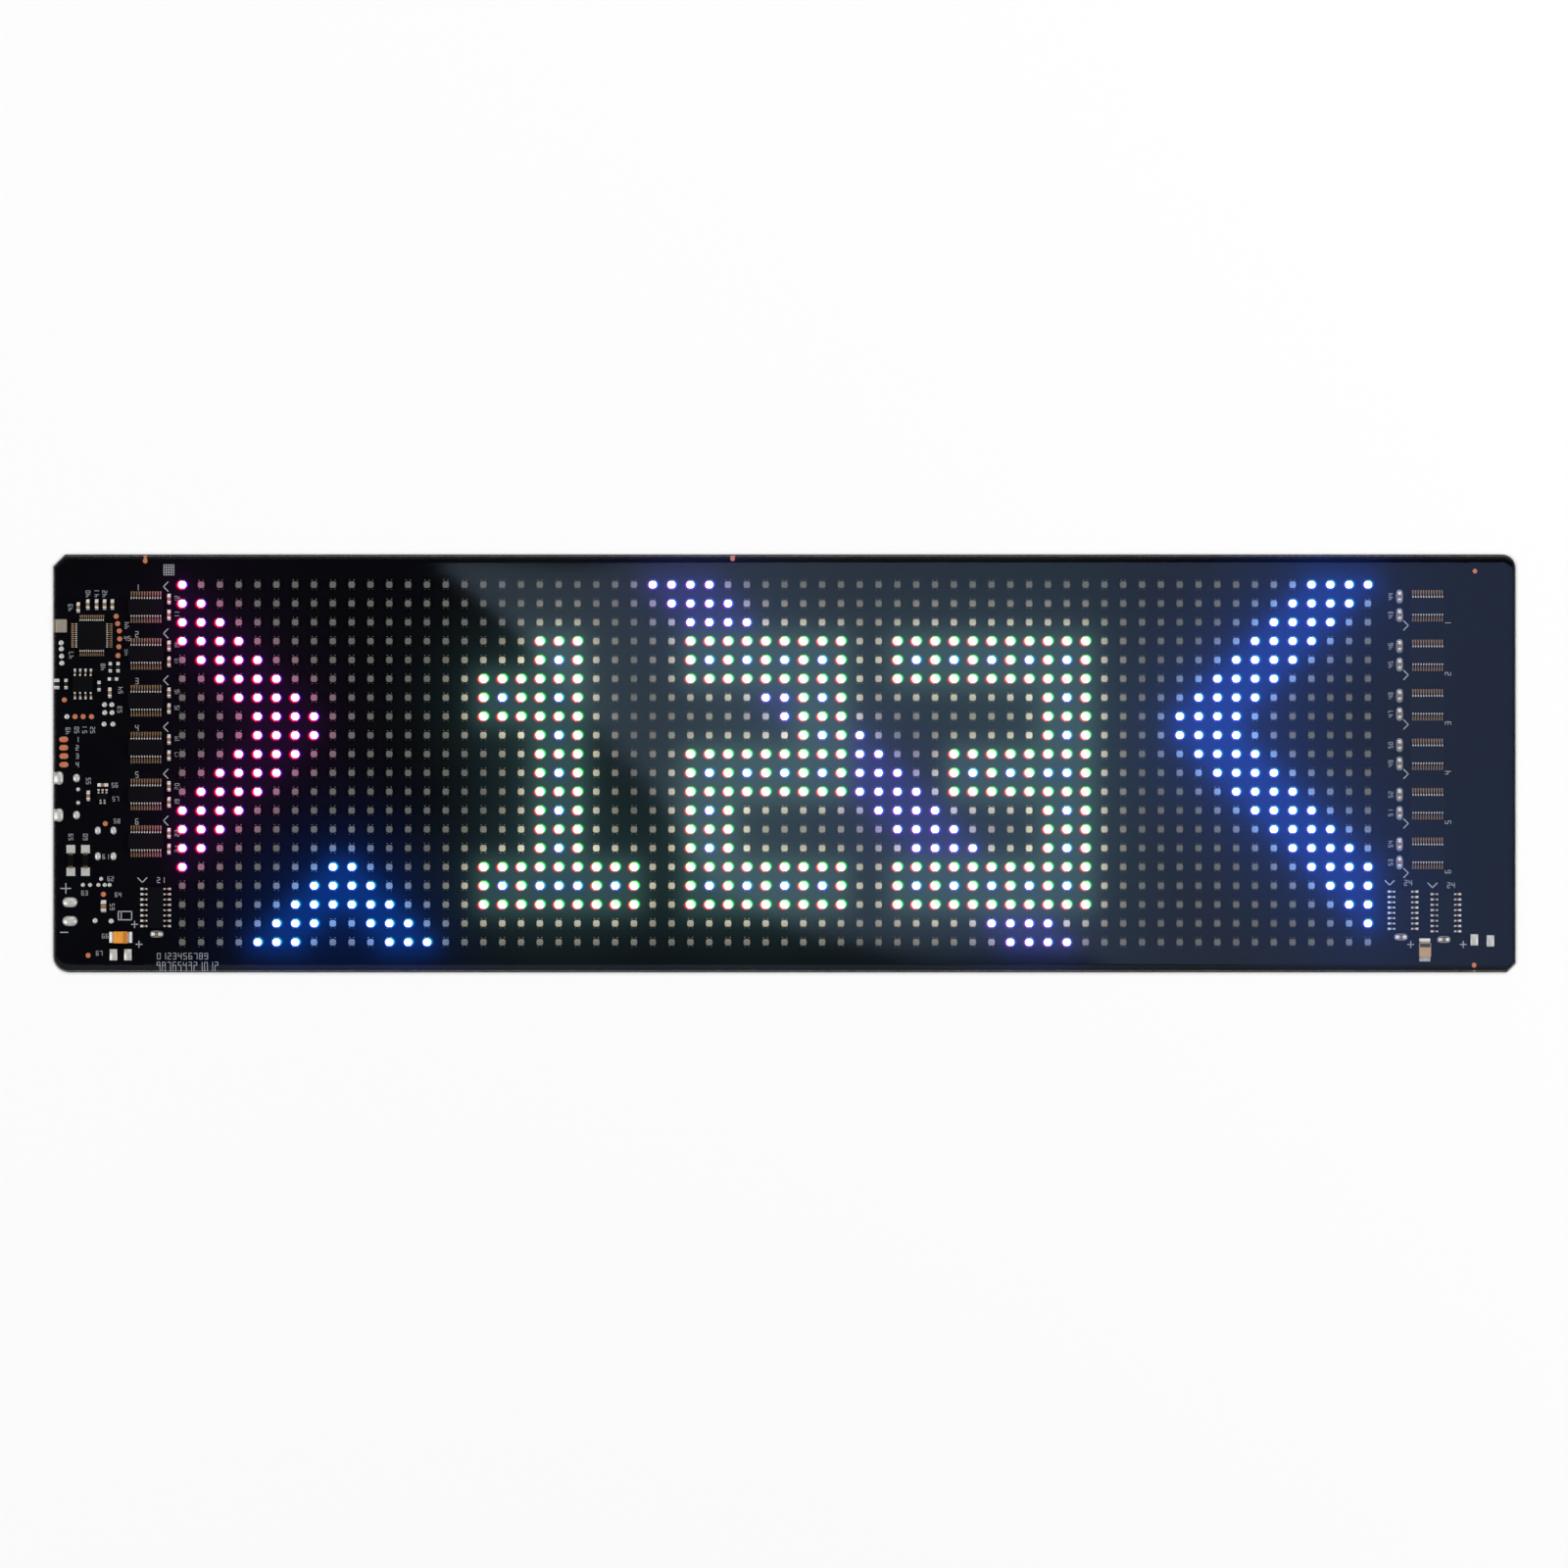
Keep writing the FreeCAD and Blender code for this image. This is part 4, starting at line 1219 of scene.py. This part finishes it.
def build_floor():
    """A wide pale floor. The camera sees it near white, and it keeps the screen's shadow."""
    made, tree = new_material("matt_white_floor")
    shader = add(tree, "BsdfPrincipled", {"Base Color": linear("#FBFBFB"), "Roughness": 0.9,
                                          "Specular IOR Level": 0.0})
    add(tree, "OutputMaterial", {"Surface": shader})
    far = 4.0
    stage_mesh("floor", [(-far, -far, 0), (far, -far, 0), (far, far, 0), (-far, far, 0)],
               [(0, 1, 2, 3)], made)


# The flag is seen only in reflections. Its grey part lies between these two edges, as places on the
# board where the resin shows them: the first runs from the top left to the lower right, and the
# second lies above it, where a dark band narrows from the left end. Below the board's foot a dim
# light shows in the resin's lower slope.
FLAG_EDGE = [(-104, 70.0), (-84, 43.5), (-66, 30.0), (-50, 12.0), (-34, -8.0), (-25, -20.0),
             (-16, -31.0), (6, -38.5), (28, -43.5), (70, -48.0), (110, -70.0), (700, -500.0)]
FLAG_ROOF = [(-140, 38.0), (-84, 44.5), (-24, 52.0), (0, 62.0), (700, 62.0)]
FLAG_SOFTNESS, FLAG_ABOVE_CAMERA = 1.1, 20
FLAG_NEAR, FLAG_FAR = (0.62, 0.84, 1.10), (0.33, 0.50, 1.02)
FLAG_FOOT, FLAG_FOOT_LIGHT = -80.0, (0.25, 0.30, 0.42)
FADE_START, FADE_LENGTH, START_SOFTNESS = -90, 265, 3
FLAG_COLUMNS = np.concatenate([np.arange(-700, -140, 40), np.arange(-140, 180, 2.5),
                               np.arange(180, 700, 40)])
FLAG_LINES = np.concatenate([np.arange(-300, -90, 30), np.arange(-90, 90, 2.5), np.arange(90, 300, 30)])


def flag_light(x, y):
    """What the resin reflects at a place on the board: black, or blue grey that fades to the right."""
    edge, roof = (np.interp(x, *np.transpose(line)) for line in (FLAG_EDGE, FLAG_ROOF))
    above, below = (1 / (1 + np.exp(np.clip(gap / FLAG_SOFTNESS, -30, 30)))
                    for gap in (edge - y, y - roof))
    fade = np.clip((x - FADE_START) / FADE_LENGTH, 0, 1)[:, None]
    colour = (1 - fade) * np.array(FLAG_NEAR) + fade * np.array(FLAG_FAR)
    starts = np.clip((x - FLAG_EDGE[0][0]) / START_SOFTNESS, 0, 1)
    foot = (y < FLAG_FOOT)[:, None] * np.array(FLAG_FOOT_LIGHT)
    return np.maximum(colour * (above * below * starts)[:, None], foot)


def build_flag():
    """The flag hangs just above the camera, so a reflected place is spread by the height ratio."""
    height = CAMERA_HEIGHT + FLAG_ABOVE_CAMERA
    spread = 1 + height / CAMERA_HEIGHT
    xs, ys = np.meshgrid(FLAG_COLUMNS, FLAG_LINES)
    down, across = xs.shape
    points = [((VIEW_X + (x - VIEW_X) * spread) * MM, (VIEW_Y + (y - VIEW_Y) * spread) * MM,
               height * MM) for x, y in zip(xs.ravel(), ys.ravel())]
    faces = [(j * across + i, j * across + i + 1, (j + 1) * across + i + 1, (j + 1) * across + i)
             for j in range(down - 1) for i in range(across - 1)]
    made, tree = new_material("studio_flag")
    light = add(tree, "Attribute", attribute_name="light").outputs["Color"]
    shader = add(tree, "Emission", {"Color": light, "Strength": 1.0})
    add(tree, "OutputMaterial", {"Surface": shader})
    flag = stage_mesh("studio_flag", points, faces, made)
    paint(flag.data, "light", "POINT", opaque(flag_light(xs.ravel(), ys.ravel())))
    flag.visible_camera = flag.visible_diffuse = flag.visible_shadow = False
    flag.visible_transmission = False


def lamp(name, place, size, power, shines_on):
    """A soft square lamp that looks at the screen, and lights what the collection allows."""
    data = bpy.data.lights.new(name, "AREA")
    data.size = size
    data.energy = power
    made = new_object(name, data)
    made.location = place
    made.rotation_euler = (-Vector(place)).to_track_quat("-Z", "Y").to_euler()
    made.visible_camera = False
    made.light_linking.receiver_collection = shines_on


def build_light(coat):
    """Even soft light from all round. It leaves no highlight on the resin, like a polarised lamp."""
    all_but_coat = bpy.data.collections.new("all_but_the_resin")
    all_but_coat.objects.link(coat)
    all_but_coat.collection_objects[0].light_linking.link_state = "EXCLUDE"
    lamp("lamp_left", (-1.5, -0.5, 1.3), 1.1, 18.5, all_but_coat)
    lamp("lamp_right", (1.5, -0.3, 1.3), 1.1, 18.5, all_but_coat)
    lamp("lamp_back", (0.2, 1.6, 1.4), 1.0, 17, all_but_coat)
    world = bpy.data.worlds.new("surround")
    bpy.context.scene.world = world
    world.use_nodes = True
    tree = world.node_tree
    tree.nodes.clear()
    soft = add(tree, "Background", {"Color": linear("#FFFFFF"), "Strength": 0.25})
    add(tree, "OutputWorld", {"Surface": soft})


build_camera()
build_board()
build_leds()
build_chips()
build_small_parts()
build_diodes()
tantalum("tantalum_capacitor_left", TANTALUM, BURNT_BAND)
tantalum("tantalum_capacitor_right", TANTALUM_AGED, BAND)
build_crystal()
build_pads()
build_beads()
build_print()
coat = build_coat()
build_floor()
build_flag()
build_light(coat)

bpy.context.scene.view_settings.view_transform = "Standard"
